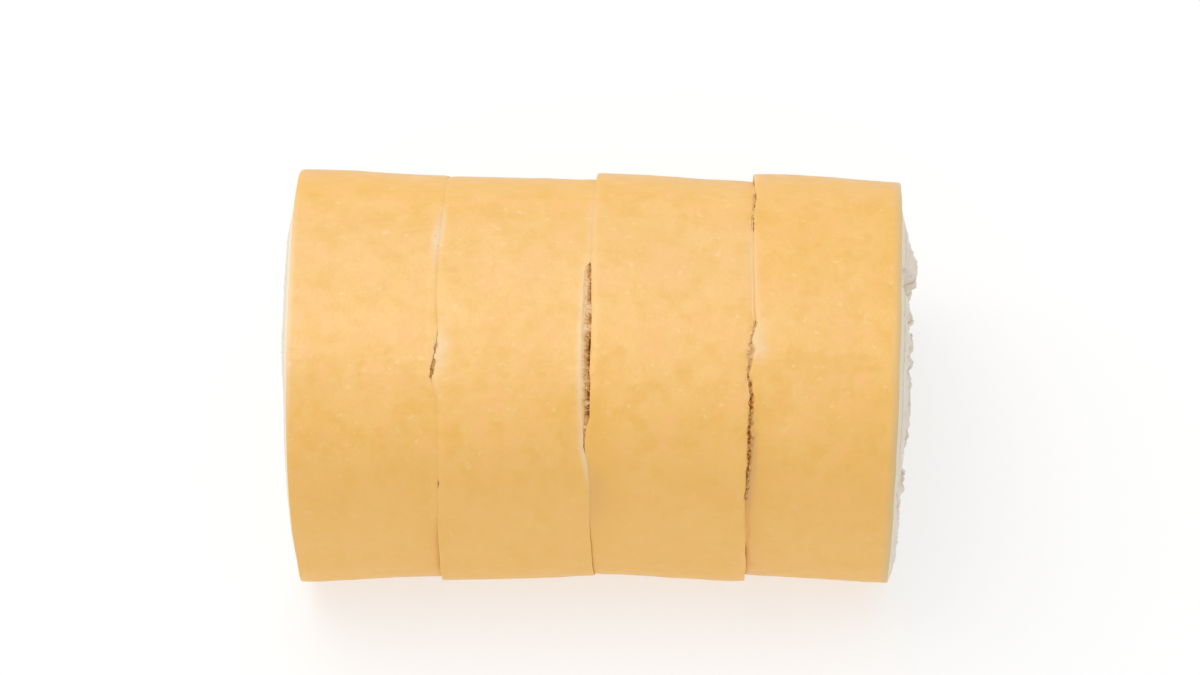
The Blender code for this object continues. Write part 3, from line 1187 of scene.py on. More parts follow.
@dataclass(frozen=True)
class Lump:
    """A small uneven lump.

    Attributes:
        middle: Where it lies.
        axes: Three directions, square to each other.
        size: Its size along each of them.
        tint: How pale or rich it is.
        rings, spokes: How fine its mesh is.
        lumpy: How uneven it is, as a share of its size.
    """

    middle: Vector
    axes: tuple[Vector, Vector, Vector]
    size: tuple[float, float, float]
    tint: float
    rings: int = 8
    spokes: int = 12
    lumpy: tuple[Ripple, ...] = (Ripple(0.55 * MM, 0.75), Ripple(0.25 * MM, 0.4))

    def points(self) -> list[Vector]:
        """Lays out its points.

        Returns:
            The points, from its one pole to its other.
        """
        points = []
        for ring in range(self.rings + 1):
            lift = math.pi * ring / self.rings
            spokes = 1 if ring in (0, self.rings) else self.spokes
            for spoke in range(spokes):
                turn = math.tau * spoke / self.spokes
                ray = (math.sin(lift) * math.cos(turn), math.sin(lift) * math.sin(turn),
                       math.cos(lift))
                offset = Vector((0, 0, 0))
                for part, axis, size in zip(ray, self.axes, self.size):
                    offset += axis * (part * size / 2)
                point = self.middle + offset
                points.append(self.middle + offset * (1 + ruffled(self.lumpy, *point)))
        return points

    def faces(self, first: int) -> list[tuple[int, ...]]:
        """Lays out its faces.

        Args:
            first: The number that its points start at.

        Returns:
            The faces, each as the numbers of its points.
        """
        spokes = self.spokes
        last = first + 1 + (self.rings - 1) * spokes
        faces = []
        for i in range(spokes):
            k = (i + 1) % spokes
            faces.append((first, first + 1 + i, first + 1 + k))
            faces.append((last, last - spokes + k, last - spokes + i))
            for ring in range(self.rings - 2):
                here = first + 1 + ring * spokes
                faces.append((here + i, here + spokes + i, here + spokes + k, here + k))
        return faces


@dataclass(frozen=True)
class Lumps(Food):
    """Many lumps as one mesh.

    Attributes:
        name: The name of the piece.
    """

    name: str

    def lumps(self) -> Iterator[Lump]:
        """Yields the lumps."""
        raise NotImplementedError

    def build(self) -> bpy.types.Object:
        """Builds all the lumps.

        Returns:
            The lumps as one piece.
        """
        points: list[Vector] = []
        faces: list[tuple[int, ...]] = []
        tints: list[float] = []
        for lump in self.lumps():
            shape = lump.points()
            faces += lump.faces(len(points))
            points += shape
            tints += [lump.tint] * len(shape)
        return placed(self.name, points, faces, tint=tints)


@dataclass(frozen=True)
class Dab:
    """A dab of cream that the knife has left on a seam; its sizes are in millimetres.

    Attributes:
        angle: Degrees round the section.
        along: How far to the right of the seam its middle lies.
        wide: Its size along the roll.
        long: Its size round the roll.
        high: Its size out of the roll.
        sunk: How far below the skin its middle lies.
        tint: 0 for clean cream, 1 for a brown crumb, and up to 2 for a dark one.
    """

    angle: float
    along: float
    wide: float
    long: float
    high: float
    sunk: float = 0.0
    tint: float = 0.0


@dataclass(frozen=True)
class SeamDabs(Lumps):
    """All the dabs on one seam.

    Attributes:
        number: The seam's number, from 1 at the left.
        dabs: What lies on it.
    """

    number: int = 1
    dabs: Sequence[Dab] = ()

    def lumps(self) -> Iterator[Lump]:
        """Lays the dabs along the skin.

        Yields:
            Each dab as a lump.
        """
        cut, portion = CUTS[self.number], Slice(self.number + 1)
        for dab in self.dabs:
            angle = math.radians(dab.angle)
            y, z = SECTION.point(angle, dab.sunk * MM)
            x = cut.face(End.LEFT, y, z, ()) + dab.along * MM
            outward = SECTION.outward(angle)
            along = Vector((1, 0, 0))
            yield Lump(portion.press(0, y, z, (x, x)), (along, outward.cross(along), outward),
                       (dab.wide * MM, dab.long * MM, dab.high * MM), dab.tint)


@dataclass(frozen=True)
class EndCrumbs(Lumps):
    """Crumbs and bits of cream that cling to an end's cut face.

    Attributes:
        number: The slice at that end.
        end: Which end of it.
        count: How many there are.
        smallest, largest: Their sizes.
        shares: Between which shares of the way from the middle to the outside they are.
        seed: What makes their places the same in each run.
        rarity: The larger, the fewer of them are large.
        perch: How far out of the face their middles lie, as a share of their size.
        flatness: Their size along the roll, as a share of the one up the face.
        width: Between which shares of it the size across is.
        tints: What their tints are picked from.
    """

    number: int = 1
    end: End = End.LEFT
    count: int = 100
    smallest: float = 0.4 * MM
    largest: float = 1.5 * MM
    shares: Flat = (0.05, 0.9)
    seed: int = 1
    rarity: float = 2.5
    perch: float = 0.15
    flatness: float = 0.8
    width: Flat = (0.7, 1.3)
    tints: tuple[float, ...] = (-0.25, 0, 0, 0, 0.3)

    def lumps(self) -> Iterator[Lump]:
        """Scatters the crumbs, closer together towards the skin.

        Yields:
            Each crumb as a lump.
        """
        chance = random.Random(self.seed)
        portion = Slice(self.number)
        cut = portion.cuts[0 if self.end is End.LEFT else 1]
        for _ in range(self.count):
            angle = chance.uniform(0, math.tau)
            share = mix(*self.shares, math.sqrt(chance.random()))
            rim_y, rim_z = SECTION.point(angle)
            y, z = rim_y * share, mix(SECTION.waist, rim_z, share)
            size = mix(self.smallest, self.largest, chance.random() ** self.rarity)
            x = cut.face(self.end, y, z, Cream.tear) - self.end.value * size * self.perch
            turn = chance.uniform(0, math.tau)
            axes = (Vector((1, 0, 0)), Vector((0, math.cos(turn), math.sin(turn))),
                    Vector((0, -math.sin(turn), math.cos(turn))))
            yield Lump(portion.press(0, y, z, (x, x)), axes,
                       (size * self.flatness, size * chance.uniform(*self.width), size),
                       chance.choice(self.tints))


# Depths below the skin at which a seam's bed starts to take painted shade, is half shaded, and
# is darkest.
SHALLOW_SEAM = (0, 0.25 * MM, 1.3 * MM)
WIDE_SEAM = (0.1 * MM, 0.6 * MM, 2.4 * MM)
DARK_SEAM = (0.05 * MM, 0.2 * MM, 0.85 * MM)


class Fill(NamedTuple):
    """How deep the cream and crumb in a seam lie, at one angle round the section.

    Attributes:
        angle: Degrees round the section.
        at_left: How far below the skin at the left lip, in millimetres.
        at_core: The same where they lie deepest.
        at_right: The same at the right lip.
    """

    angle: float
    at_left: float
    at_core: float
    at_right: float


@dataclass(frozen=True)
class SeamBed(Food):
    """The cream and crumb that have stayed in a parted stretch of a seam.

    Attributes:
        name: The name of the piece.
        number: The seam's number, from 1 at the left.
        fills: How deep they lie, in order of angle.
        core: Where they lie deepest, as a share of the way from lip to lip.
        seam_shading: How far below the skin they are clean, half shaded and darkest with painted
            shade.
        step: The distance between two steps round the section.
        across: How many points its top has from lip to lip.
        tuck: How far it reaches in under each lip.
        foot: How far below the skin its bottom is.
        crags: How uneven its top is, as a share of its depth.
        crag_span: From lip to lip as the crags count it.
        shallowest: The least depth that the crags leave, as a share.
    """

    name: str
    number: int
    fills: Sequence[Fill]
    core: float = 0.45
    seam_shading: tuple[float, float, float] = SHALLOW_SEAM
    step: float = 0.16 * MM
    across: int = 12
    tuck: float = 0.4 * MM
    foot: float = 7 * MM
    crags: tuple[Ripple, ...] = (
        Ripple(1.9 * MM, 0.6), Ripple(0.8 * MM, 0.8), Ripple(0.4 * MM, 0.8))
    crag_span: float = 2 * MM
    shallowest: float = 0.15

    def fill(self, degrees: float) -> list[float]:
        """Returns how deep it lies at the left lip, at its core and at the right lip."""
        return [depth * MM for depth in at_angle(self.fills, degrees)]

    def depth(self, fill: Sequence[float], share: float) -> float:
        """Finds how deep its top lies, before it is made uneven.

        Args:
            fill: What fill() says there.
            share: The share of the way from the left lip to the right one.

        Returns:
            How far below the skin.
        """
        left, core, right = fill
        if share < self.core:
            return mix(left, core, (share / self.core) ** 2)
        return mix(core, right, ease((share - self.core) / (1 - self.core)))

    def knot(self, angle: float, share: float, depth: float) -> Knot:
        """Finds a point of the bed.

        Args:
            angle: Its angle round the section.
            share: Its share of the way from under the left lip to under the right one.
            depth: How far below the skin it lies.

        Returns:
            The point.
        """
        cut, before, after = CUTS[self.number], Slice(self.number), Slice(self.number + 1)
        y, z = SECTION.point(angle, depth)
        left = cut.face(End.RIGHT, y, z, ()) - self.tuck
        right = cut.face(End.LEFT, y, z, ()) + self.tuck
        x = mix(left, right, share)
        place = before.press(before.width, y, z, (x, x)).lerp(
            after.press(0, y, z, (x, x)), share)
        # The deeper below the skin, the more painted shade the bed gets.
        clean, seam_shading, darkest = self.seam_shading
        tint = ease((depth - clean) / (seam_shading - clean))
        return Knot(place, tint + ease((depth - seam_shading) / (darkest - seam_shading)))

    def build(self) -> bpy.types.Object:
        """Builds the bed as a ridge that follows the seam.

        Returns:
            The bed.
        """
        first, last = (math.radians(self.fills[end].angle) for end in (0, -1))
        y0, z0 = SECTION.point(first)
        y1, z1 = SECTION.point(last)
        count = max(int(math.hypot(y1 - y0, z1 - z0) / self.step), 2)
        loops = []
        for way in shares(count):
            angle = mix(first, last, way)
            fill = self.fill(math.degrees(angle))
            y, z = SECTION.point(angle)
            loop = []
            for share in shares(self.across):
                crag = 1 + ruffled(self.crags, self.number + share * self.crag_span, y, z)
                depth = self.depth(fill, share) * max(crag, self.shallowest)
                loop.append(self.knot(angle, share, depth))
            loop.append(self.knot(angle, 1, self.foot))
            loop.append(self.knot(angle, 0, self.foot))
            loops.append(loop)
        return lofted(self.name, loops, ring=False)


SEAM_BEDS = (
    SeamBed("seam_bed_1a", 1, core=0.5, fills=(
        Fill(107.5, 0.3, 0.3, 0.3), Fill(109, 0.2, 0.2, 0.2), Fill(111, 0.2, 0.25, 0.15),
        Fill(113.2, 0.3, 0.55, 0.3), Fill(115.5, 0.35, 0.6, 0.3), Fill(118, 0.4, 0.75, 0.35),
        Fill(119.8, 0.3, 0.7, 0.35), Fill(121.5, 0.12, 0.2, 0.12), Fill(124, 0.2, 0.2, 0.2))),
    SeamBed("seam_bed_1b", 1, seam_shading=DARK_SEAM, fills=(
        Fill(149.2, 0.5, 0.5, 0.5), Fill(150.3, 0.5, 0.7, 0.5), Fill(151, 0.5, 0.7, 0.5),
        Fill(152.2, 0.5, 0.5, 0.5))),
    SeamBed("seam_bed_2", 2, core=0.84, seam_shading=WIDE_SEAM, fills=(
        Fill(84.5, 0.3, 0.6, 0.5), Fill(86, 0.05, 1.1, 0.9), Fill(88.5, 0.05, 1.7, 1.3),
        Fill(90.5, 0.05, 1.1, 0.8), Fill(93, 0.06, 1.6, 1.3), Fill(96.5, 0.1, 1.3, 1.0),
        Fill(98.6, 0.2, 0.35, 0.25), Fill(100.8, 0.2, 0.35, 0.25), Fill(102.3, 0.3, 1.2, 0.8),
        Fill(104, 0.3, 1.2, 0.8), Fill(105, 0.15, 0.3, 0.2), Fill(106.8, 0.15, 0.3, 0.2),
        Fill(108, 0.25, 2.2, 1.5), Fill(110, 0.3, 2.7, 1.8), Fill(114, 0.3, 2.5, 1.6),
        Fill(117, 0.35, 1.9, 1.2), Fill(120, 0.4, 1.2, 0.8), Fill(121.8, 0.5, 0.6, 0.3),
        Fill(123.3, 0.45, 1.4, 1.0), Fill(126, 0.45, 2.4, 1.8), Fill(128, 0.45, 1.8, 1.3),
        Fill(130.5, 0.45, 2.3, 1.7), Fill(132.5, 0.4, 0.9, 0.6), Fill(134.5, 0.3, 0.7, 0.3),
        Fill(139, 0.3, 0.6, 0.3), Fill(142.5, 0.5, 0.5, 0.5))),
    SeamBed("seam_bed_3a", 3, fills=(
        Fill(53, 0.4, 0.4, 0.4), Fill(55, 0.3, 0.5, 0.3), Fill(60.5, 0.3, 0.55, 0.3),
        Fill(62.5, 0.4, 0.4, 0.4))),
    SeamBed("seam_bed_3b", 3, fills=(
        Fill(64.5, 0.4, 0.4, 0.4), Fill(66, 0.25, 0.4, 0.25), Fill(68, 0.25, 0.3, 0.25),
        Fill(70.5, 0.3, 0.55, 0.3), Fill(73, 0.4, 0.4, 0.4))),
    SeamBed("seam_bed_3c", 3, seam_shading=DARK_SEAM, fills=(
        Fill(102, 0.2, 0.2, 0.2), Fill(104, 0.1, 0.22, 0.1), Fill(109.5, 0.1, 0.26, 0.1),
        Fill(113, 0.1, 0.28, 0.1), Fill(117, 0.12, 0.35, 0.12), Fill(119.7, 0.15, 0.5, 0.15),
        Fill(122, 0.2, 0.55, 0.2), Fill(125, 0.2, 0.65, 0.2), Fill(130, 0.2, 0.5, 0.2),
        Fill(135, 0.2, 0.66, 0.2), Fill(142, 0.22, 0.65, 0.22), Fill(147, 0.25, 0.58, 0.25),
        Fill(150, 0.3, 0.55, 0.3), Fill(154, 0.3, 0.45, 0.3), Fill(157, 0.4, 0.4, 0.4))),
)

SEAM_DABS = (
    SeamDabs("seam_dabs_1", number=1, dabs=(
        Dab(71.7, 0.1, 0.5, 0.8, 0.42), Dab(78.6, -0.1, 0.5, 0.5, 0.4),
        Dab(75, -0.3, 0.3, 0.6, 0.15), Dab(75.2, -1.0, 0.4, 0.45, 0.4, tint=2.0),
        Dab(106.5, 0.5, 0.4, 0.7, 0.2, 0.05), Dab(110, 0.3, 0.3, 0.8, 0.25, 0.1),
        Dab(118.5, 0.1, 0.3, 0.9, 0.3, 0.2))),
    SeamDabs("seam_dabs_2", number=2, dabs=(
        Dab(51, 0.3, 0.6, 0.5, 0.15), Dab(62, 0.1, 0.3, 0.3, 0.15),
        Dab(121.5, 2.0, 0.3, 1.2, 0.12), Dab(207, 0.3, 0.4, 1.0, 0.3))),
    SeamDabs("seam_dabs_3", number=3, dabs=(
        Dab(75, 0.3, 0.4, 0.5, 0.15), Dab(104, 0.2, 0.3, 0.6, 0.2), Dab(106, 0.1, 0.4, 0.6, 0.2),
        Dab(114, 0.5, 0.4, 1.4, 0.2), Dab(117.5, 0.4, 0.4, 1.2, 0.2))),
)


# --------------------------------------------------------------------------- finishes


EVEN = (1.0, 1.0, 1.0)


@dataclass(frozen=True)
class Patches:
    """Patches of another colour on a finish.

    Attributes:
        colour: Their colour.
        size: About how far it is from one to the next.
        starts, full: Which levels of the noise they start at, and are strongest at.
        most: How strong they are at most.
        least: How strong they are between the patches.
        detail: How many finer layers their outline has.
        stretch: How much longer they are along each axis.
    """

    colour: Colour
    size: float
    starts: float
    full: float
    most: float = 1.0
    least: float = 0.0
    detail: float = 3
    stretch: tuple[float, ...] = EVEN


class Grain(NamedTuple):
    """Fine bumps of one size on a finish.

    Attributes:
        size: About how far it is from one bump to the next.
        height: How high they are.
        detail: How many finer layers they have.
        roughness: How strong the finer layers are.
    """

    size: float
    height: float
    detail: float = 3
    roughness: float = 0.5


class Graph:
    """A material's nodes, with short ways to add the kinds that food needs."""

    def __init__(self, name: str) -> None:
        """Starts a material with one Principled shader.

        Args:
            name: The material's name.
        """
        self.material = bpy.data.materials.new(name)
        self.material.use_nodes = True
        self.tree = self.material.node_tree
        self.shader = self.tree.nodes["Principled BSDF"]
        coordinates = self.tree.nodes.new("ShaderNodeTexCoord")
        self.place = coordinates.outputs["Object"]

    def link(self, source: bpy.types.NodeSocket, target: bpy.types.NodeSocket) -> None:
        """Joins an output to an input."""
        self.tree.links.new(source, target)

    def noise(self, size: float, detail: float, stretch: Sequence[float] = EVEN,
              roughness: float = 0.5) -> bpy.types.NodeSocket:
        """Adds a noise of about this grain.

        Args:
            size: About how far it is from one patch to the next.
            detail: How many finer layers it has.
            stretch: How much longer the patches are along each axis.
            roughness: How strong the finer layers are.

        Returns:
            The noise's value.
        """
        scaled = self.tree.nodes.new("ShaderNodeMapping")
        scaled.inputs["Scale"].default_value = [1 / (size * long) for long in stretch]
        self.link(self.place, scaled.inputs["Vector"])
        texture = self.tree.nodes.new("ShaderNodeTexNoise")
        texture.inputs["Scale"].default_value = 1.0
        texture.inputs["Detail"].default_value = detail
        texture.inputs["Roughness"].default_value = roughness
        self.link(scaled.outputs["Vector"], texture.inputs["Vector"])
        return texture.outputs["Fac"]

    def level(self, value: bpy.types.NodeSocket, low: float, high: float,
              to_low: float = 0.0, to_high: float = 1.0) -> bpy.types.NodeSocket:
        """Maps a value from one range to another, smoothly and held at its ends.

        Args:
            value: The value.
            low: The value that gives to_low.
            high: The value that gives to_high.
            to_low: The result at low.
            to_high: The result at high.

        Returns:
            The mapped value.
        """
        node = self.tree.nodes.new("ShaderNodeMapRange")
        node.interpolation_type = "SMOOTHSTEP"
        for key, number in (("From Min", low), ("From Max", high),
                            ("To Min", to_low), ("To Max", to_high)):
            node.inputs[key].default_value = number
        self.link(value, node.inputs["Value"])
        return node.outputs["Result"]

    def blend(self, share: bpy.types.NodeSocket, first: bpy.types.NodeSocket | Colour,
              second: bpy.types.NodeSocket | Colour) -> bpy.types.NodeSocket:
        """Mixes two colours.

        Args:
            share: How much of the second one there is.
            first: The colour, or the socket that gives it.
            second: The other one.

        Returns:
            The mixed colour.
        """
        node = self.tree.nodes.new("ShaderNodeMix")
        node.data_type = "RGBA"
        self.link(share, node.inputs["Factor"])
        for colour, socket in ((first, node.inputs[6]), (second, node.inputs[7])):
            if isinstance(colour, tuple):
                socket.default_value = colour
            else:
                self.link(colour, socket)
        return node.outputs[2]

    def patched(self, colour: bpy.types.NodeSocket | Colour,
                layers: Sequence[Patches]) -> bpy.types.NodeSocket:
        """Lays patches of other colours over a colour.

        Args:
            colour: The colour below.
            layers: The patches, from the lowest to the topmost.

        Returns:
            The resulting colour.
        """
        for layer in layers:
            grey = self.noise(layer.size, layer.detail, layer.stretch)
            share = self.level(grey, layer.starts, layer.full, layer.least, layer.most)
            colour = self.blend(share, colour, layer.colour)
        return colour

    def coated(self, colour: bpy.types.NodeSocket,
               *coats: tuple[bpy.types.NodeSocket, Colour]) -> bpy.types.NodeSocket:
        """Lays other colours over a colour.

        Args:
            colour: The colour below.
            coats: How much there is of each colour, and the colour.

        Returns:
            The resulting colour.
        """
        for share, coat in coats:
            colour = self.blend(share, colour, coat)
        return colour

    def value(self, name: str) -> bpy.types.NodeSocket:
        """Reads a value that the mesh has for each of its points.

        Args:
            name: The value's name.

        Returns:
            The value.
        """
        attribute = self.tree.nodes.new("ShaderNodeAttribute")
        attribute.attribute_name = name
        return attribute.outputs["Fac"]

    def times(self, value: bpy.types.NodeSocket, factor: float) -> bpy.types.NodeSocket:
        """Multiplies a value.

        Args:
            value: The value.
            factor: What it is multiplied by.

        Returns:
            The product, held between 0 and 1.
        """
        node = self.tree.nodes.new("ShaderNodeMath")
        node.operation = "MULTIPLY"
        node.use_clamp = True
        self.link(value, node.inputs[0])
        node.inputs[1].default_value = factor
        return node.outputs["Value"]

    def bumps(self, grains: Sequence[Grain]) -> None:
        """Gives the shader fine bumps.

        Args:
            grains: The bumps of each size.
        """
        normal = None
        for grain in grains:
            node = self.tree.nodes.new("ShaderNodeBump")
            node.inputs["Distance"].default_value = grain.height
            self.link(self.noise(grain.size, grain.detail, roughness=grain.roughness),
                      node.inputs["Height"])
            if normal is not None:
                self.link(normal, node.inputs["Normal"])
            normal = node.outputs["Normal"]
        self.link(normal, self.shader.inputs["Normal"])

    def scatter(self, weight: float, radius: Sequence[float]) -> None:
        """Lets light into the food.

        Args:
            weight: How much of the light goes in.
            radius: How far red, green and blue light come.
        """
        self.shader.inputs["Subsurface Weight"].default_value = weight
        self.shader.inputs["Subsurface Scale"].default_value = 1.0
        self.shader.inputs["Subsurface Radius"].default_value = radius


@dataclass(frozen=True)
class Finish:
    """The look of one surface.

    Attributes:
        roughness: How matt it is.
        gloss: How strongly it reflects.
        grains: Its fine bumps.
        light_in: How much of the light goes into it.
        light_reach: How far red, green and blue light come in it.
    """

    roughness: float = 0.5
    gloss: float = 0.5
    grains: tuple[Grain, ...] = ()
    light_in: float = 0.1
    light_reach: tuple[float, ...] = (1.2 * MM, MM, 0.8 * MM)

    def colour(self, graph: Graph) -> bpy.types.NodeSocket:
        """Returns its colour, mixed by the nodes of its material."""
        raise NotImplementedError

    def polish(self, graph: Graph) -> None:
        """Sets how matt and how glossy it is."""
        graph.shader.inputs["Roughness"].default_value = self.roughness
        graph.shader.inputs["Specular IOR Level"].default_value = self.gloss

    def material(self, name: str) -> bpy.types.Material:
        """Makes its material.

        Args:
            name: The material's name.

        Returns:
            The material.
        """
        graph = Graph(name)
        graph.link(self.colour(graph), graph.shader.inputs["Base Color"])
        self.polish(graph)
        graph.bumps(self.grains)
        graph.scatter(self.light_in, self.light_reach)
        return graph.material


@dataclass(frozen=True)
class OuterCrepeFinish(Finish):
    """The soft egg-yellow outside, faintly mottled, paler where it is cut.

    Attributes:
        body: The main colour.
        rich: The deeper patches, and painted shade where the mesh's tint is below 0.
        pale: The lighter patches.
        blush: The rosier patches.
        fleck: The small pale flecks.
        deep: The darkest painted shade, on the back edge and beside the seams where a slice lies
            lower.
        smear: Where a little cream has been rubbed into it, also the paler cut edge in a seam,
            and painted light on top and at the left end.
        worn: Painted shade on the skin beside the right end, where it rounds off.
        rim: Its cut edge there.
        painted_light: Its cut edge at the other end, lighter than rim, which is painted light.
        roughness: How matt it is.
        uneven: How much less and how much more matt than that it is in places.
        gloss: How strongly its moist surface reflects.
        grains: Its fine bumps.
        light_reach: How far red, green and blue light come in it.
    """

    body: Colour = screen_colour(242, 187, 88)
    rich: Colour = screen_colour(238, 181, 72)
    pale: Colour = screen_colour(246, 194, 106)
    blush: Colour = screen_colour(249, 188, 107)
    fleck: Colour = screen_colour(251, 212, 152)
    deep: Colour = screen_colour(223, 168, 84)
    smear: Colour = screen_colour(240, 209, 168)
    worn: Colour = screen_colour(214, 182, 124)
    rim: Colour = screen_colour(224, 213, 192)
    painted_light: Colour = screen_colour(244, 226, 194)
    roughness: float = 0.42
    uneven: Flat = (-0.04, 0.05)
    gloss: float = 1.0
    grains: tuple[Grain, ...] = (
        Grain(0.9 * MM, 0.07 * MM, 4, 0.6), Grain(2.6 * MM, 0.15 * MM))
    light_reach: tuple[float, ...] = (3 * MM, 1.6 * MM, 0.7 * MM)

    def colour(self, graph: Graph) -> bpy.types.NodeSocket:
        """Mottles the skin, and colours it as its mesh says: smeared cream and paler cut edges,
        painted shade round the slice and beside the cuts, and painted light on top and at the
        left end.

        Args:
            graph: The nodes of its material.

        Returns:
            The colour.
        """
        colour = graph.patched(self.body, (
            Patches(self.pale, 12 * MM, 0.4, 0.62, 0.8, least=0.1),
            Patches(self.rich, 5.5 * MM, 0.44, 0.66, 0.8),
            Patches(self.blush, 7 * MM, 0.46, 0.68, 0.7, stretch=(1, 1.1, 1.3)),
            Patches(self.pale, 1.6 * MM, 0.42, 0.72, 0.34),
            Patches(self.rich, 0.7 * MM, 0.45, 0.75, 0.28, detail=2),
            Patches(self.fleck, 2.2 * MM, 0.62, 0.76, 0.45, detail=2.5)))
        tint, worn = graph.value("tint"), graph.value("worn")
        # A negative tint paints shade in rich and then deep; a positive one adds smeared cream
        # and painted light. The other value paints shade beside the right end, then gives the
        # ends' cut edges the rim colour, and painted light at the left end.
        return graph.coated(
            colour,
            (graph.times(graph.times(tint, -1.0), 0.8), self.rich),
            (graph.level(tint, -1.0, -2.0, 0, 0.8), self.deep),
            (graph.times(tint, 1.0), self.smear),
            (graph.times(worn, 1.0), self.worn),
            (graph.level(worn, 1.0, 2.0), self.rim),
            (graph.level(worn, 2.0, 3.0), self.painted_light))

    def polish(self, graph: Graph) -> None:
        """Makes it more matt in some places than in others.

        Args:
            graph: The nodes of its material.
        """
        super().polish(graph)
        less, more = self.uneven
        roughness = graph.level(graph.noise(5 * MM, 3), 0.3, 0.7,
                                self.roughness + less, self.roughness + more)
        graph.link(roughness, graph.shader.inputs["Roughness"])


@dataclass(frozen=True)
class InnerCrepeFinish(Finish):
    """The thinner crepe inside, moist and smeared where it is cut.

    Attributes:
        body: The main colour.
        rich: The deeper patches.
        smear: Cream that the knife has dragged over it.
        roughness: How matt it is.
        grains: Its fine bumps.
        light_in: How much of the light goes into it.
        light_reach: How far red, green and blue light come in it.
    """

    body: Colour = screen_colour(232, 199, 138)
    rich: Colour = screen_colour(222, 182, 112)
    smear: Colour = screen_colour(226, 213, 192)
    roughness: float = 0.6
    grains: tuple[Grain, ...] = (Grain(0.6 * MM, 0.15 * MM, 4, 0.7),)
    light_in: float = 0.12
    light_reach: tuple[float, ...] = (3 * MM, 1.8 * MM, 0.9 * MM)

    def colour(self, graph: Graph) -> bpy.types.NodeSocket:
        """Mottles the sheet, and smears it more at its cut edges.

        Args:
            graph: The nodes of its material.

        Returns:
            The colour.
        """
        colour = graph.patched(self.body, (
            Patches(self.rich, 3 * MM, 0.4, 0.65, detail=4),
            Patches(self.smear, 4 * MM, 0.46, 0.6, 0.85, least=0.1, detail=4,
                    stretch=(1, 1, 2.5))))
        return graph.coated(colour, (graph.times(graph.value("tint"), 0.4), self.smear))


@dataclass(frozen=True)
class CreamFinish(Finish):
    """Whipped cream that a knife has gone through, with a little crumb in it.

    Attributes:
        body: The main colour.
        painted_light: Painted light on the left end's cream, brighter and warmer than the body.
        shade: The duller patches.
        crumb: Crumbs of crepe that the knife has dragged along.
        stain_and_shade: Painted shade on its cut faces near the skin in a seam, also the colour
            of its browner crumbs.
        grains: Its fine bumps.
    """

    body: Colour = screen_colour(233, 224, 209)
    painted_light: Colour = screen_colour(243, 234, 215)
    shade: Colour = screen_colour(226, 215, 198)
    crumb: Colour = screen_colour(226, 198, 152)
    stain_and_shade: Colour = screen_colour(214, 168, 106)
    grains: tuple[Grain, ...] = (
        Grain(0.5 * MM, 0.2 * MM, 4, 0.7), Grain(1.8 * MM, 0.3 * MM))

    def colour(self, graph: Graph) -> bpy.types.NodeSocket:
        """Mottles the cream, paints light on it at the left end, puts the crumb in it and paints
        shade on it in a seam.

        Args:
            graph: The nodes of its material.

        Returns:
            The colour.
        """
        colour = graph.patched(self.body, (Patches(self.shade, 6 * MM, 0.4, 0.65, detail=4),))
        # Painted light on the left end's face.
        painted_light = graph.level(graph.value("worn"), 2.0, 3.0, 0, 0.75)
        colour = graph.coated(colour, (painted_light, self.painted_light))
        colour = graph.patched(colour, (Patches(self.crumb, 1.6 * MM, 0.66, 0.72, 0.6),))
        # A positive tint gives crumb colour; a negative one is painted shade in a seam, and a
        # browner tone on some crumbs.
        tint = graph.value("tint")
        return graph.coated(colour, (graph.times(tint, 1.0), self.crumb),
                            (graph.times(tint, -1.0), self.stain_and_shade))


@dataclass(frozen=True)
class SeamFinish(Finish):
    """Cream and crumb in a seam, with painted shade that browns it the deeper it lies between
    the skins.

    Attributes:
        clean: Where it lies level with the skin or on it.
        stain_and_shade: Crumb brown and painted shade, where it lies a little lower.
        dark: Painted shade where it lies deepest, also its dark crumb grains.
        speckle: How much browner its dark grains are.
        roughness: How matt it is.
        gloss: How strongly it reflects.
        grains: Its fine bumps.
        light_reach: How far red, green and blue light come in it.
    """

    clean: Colour = screen_colour(239, 204, 158)
    stain_and_shade: Colour = screen_colour(216, 173, 115)
    dark: Colour = screen_colour(178, 110, 38)
    speckle: float = 0.5
    roughness: float = 0.85
    gloss: float = 0.15
    grains: tuple[Grain, ...] = (Grain(0.5 * MM, 0.12 * MM, 4, 0.7),)
    light_reach: tuple[float, ...] = (1.2 * MM, 0.8 * MM, 0.4 * MM)

    def colour(self, graph: Graph) -> bpy.types.NodeSocket:
        """Paints shade on it as its mesh says, browner the deeper it lies, and speckles it with
        crumb.

        Args:
            graph: The nodes of its material.

        Returns:
            The colour.
        """
        tint = graph.value("tint")
        colour = graph.blend(graph.level(tint, 0.0, 1.0), self.clean, self.stain_and_shade)
        colour = graph.patched(colour, (Patches(self.dark, 0.5 * MM, 0.52, 0.68, self.speckle),))
        return graph.coated(colour, (graph.level(tint, 1.0, 2.0), self.dark))


# --------------------------------------------------------------------------- studio


@dataclass(frozen=True)
class Lamp:
    """A square soft light that points at the roll.

    Attributes:
        name: Its name.
        place: Where it hangs.
        size: Its side.
        power: Its power in watts.
    """

    name: str
    place: tuple[float, float, float]
    size: float
    power: float

    def hang(self) -> None:
        """Hangs the light."""
        lamp = bpy.data.lights.new(self.name, "AREA")
        lamp.shape = "SQUARE"
        lamp.size = self.size
        lamp.energy = self.power
        holder = bpy.data.objects.new(self.name, lamp)
        holder.location = self.place
        holder.rotation_euler = (-Vector(self.place)).to_track_quat("-Z", "Y").to_euler()
        bpy.context.scene.collection.objects.link(holder)


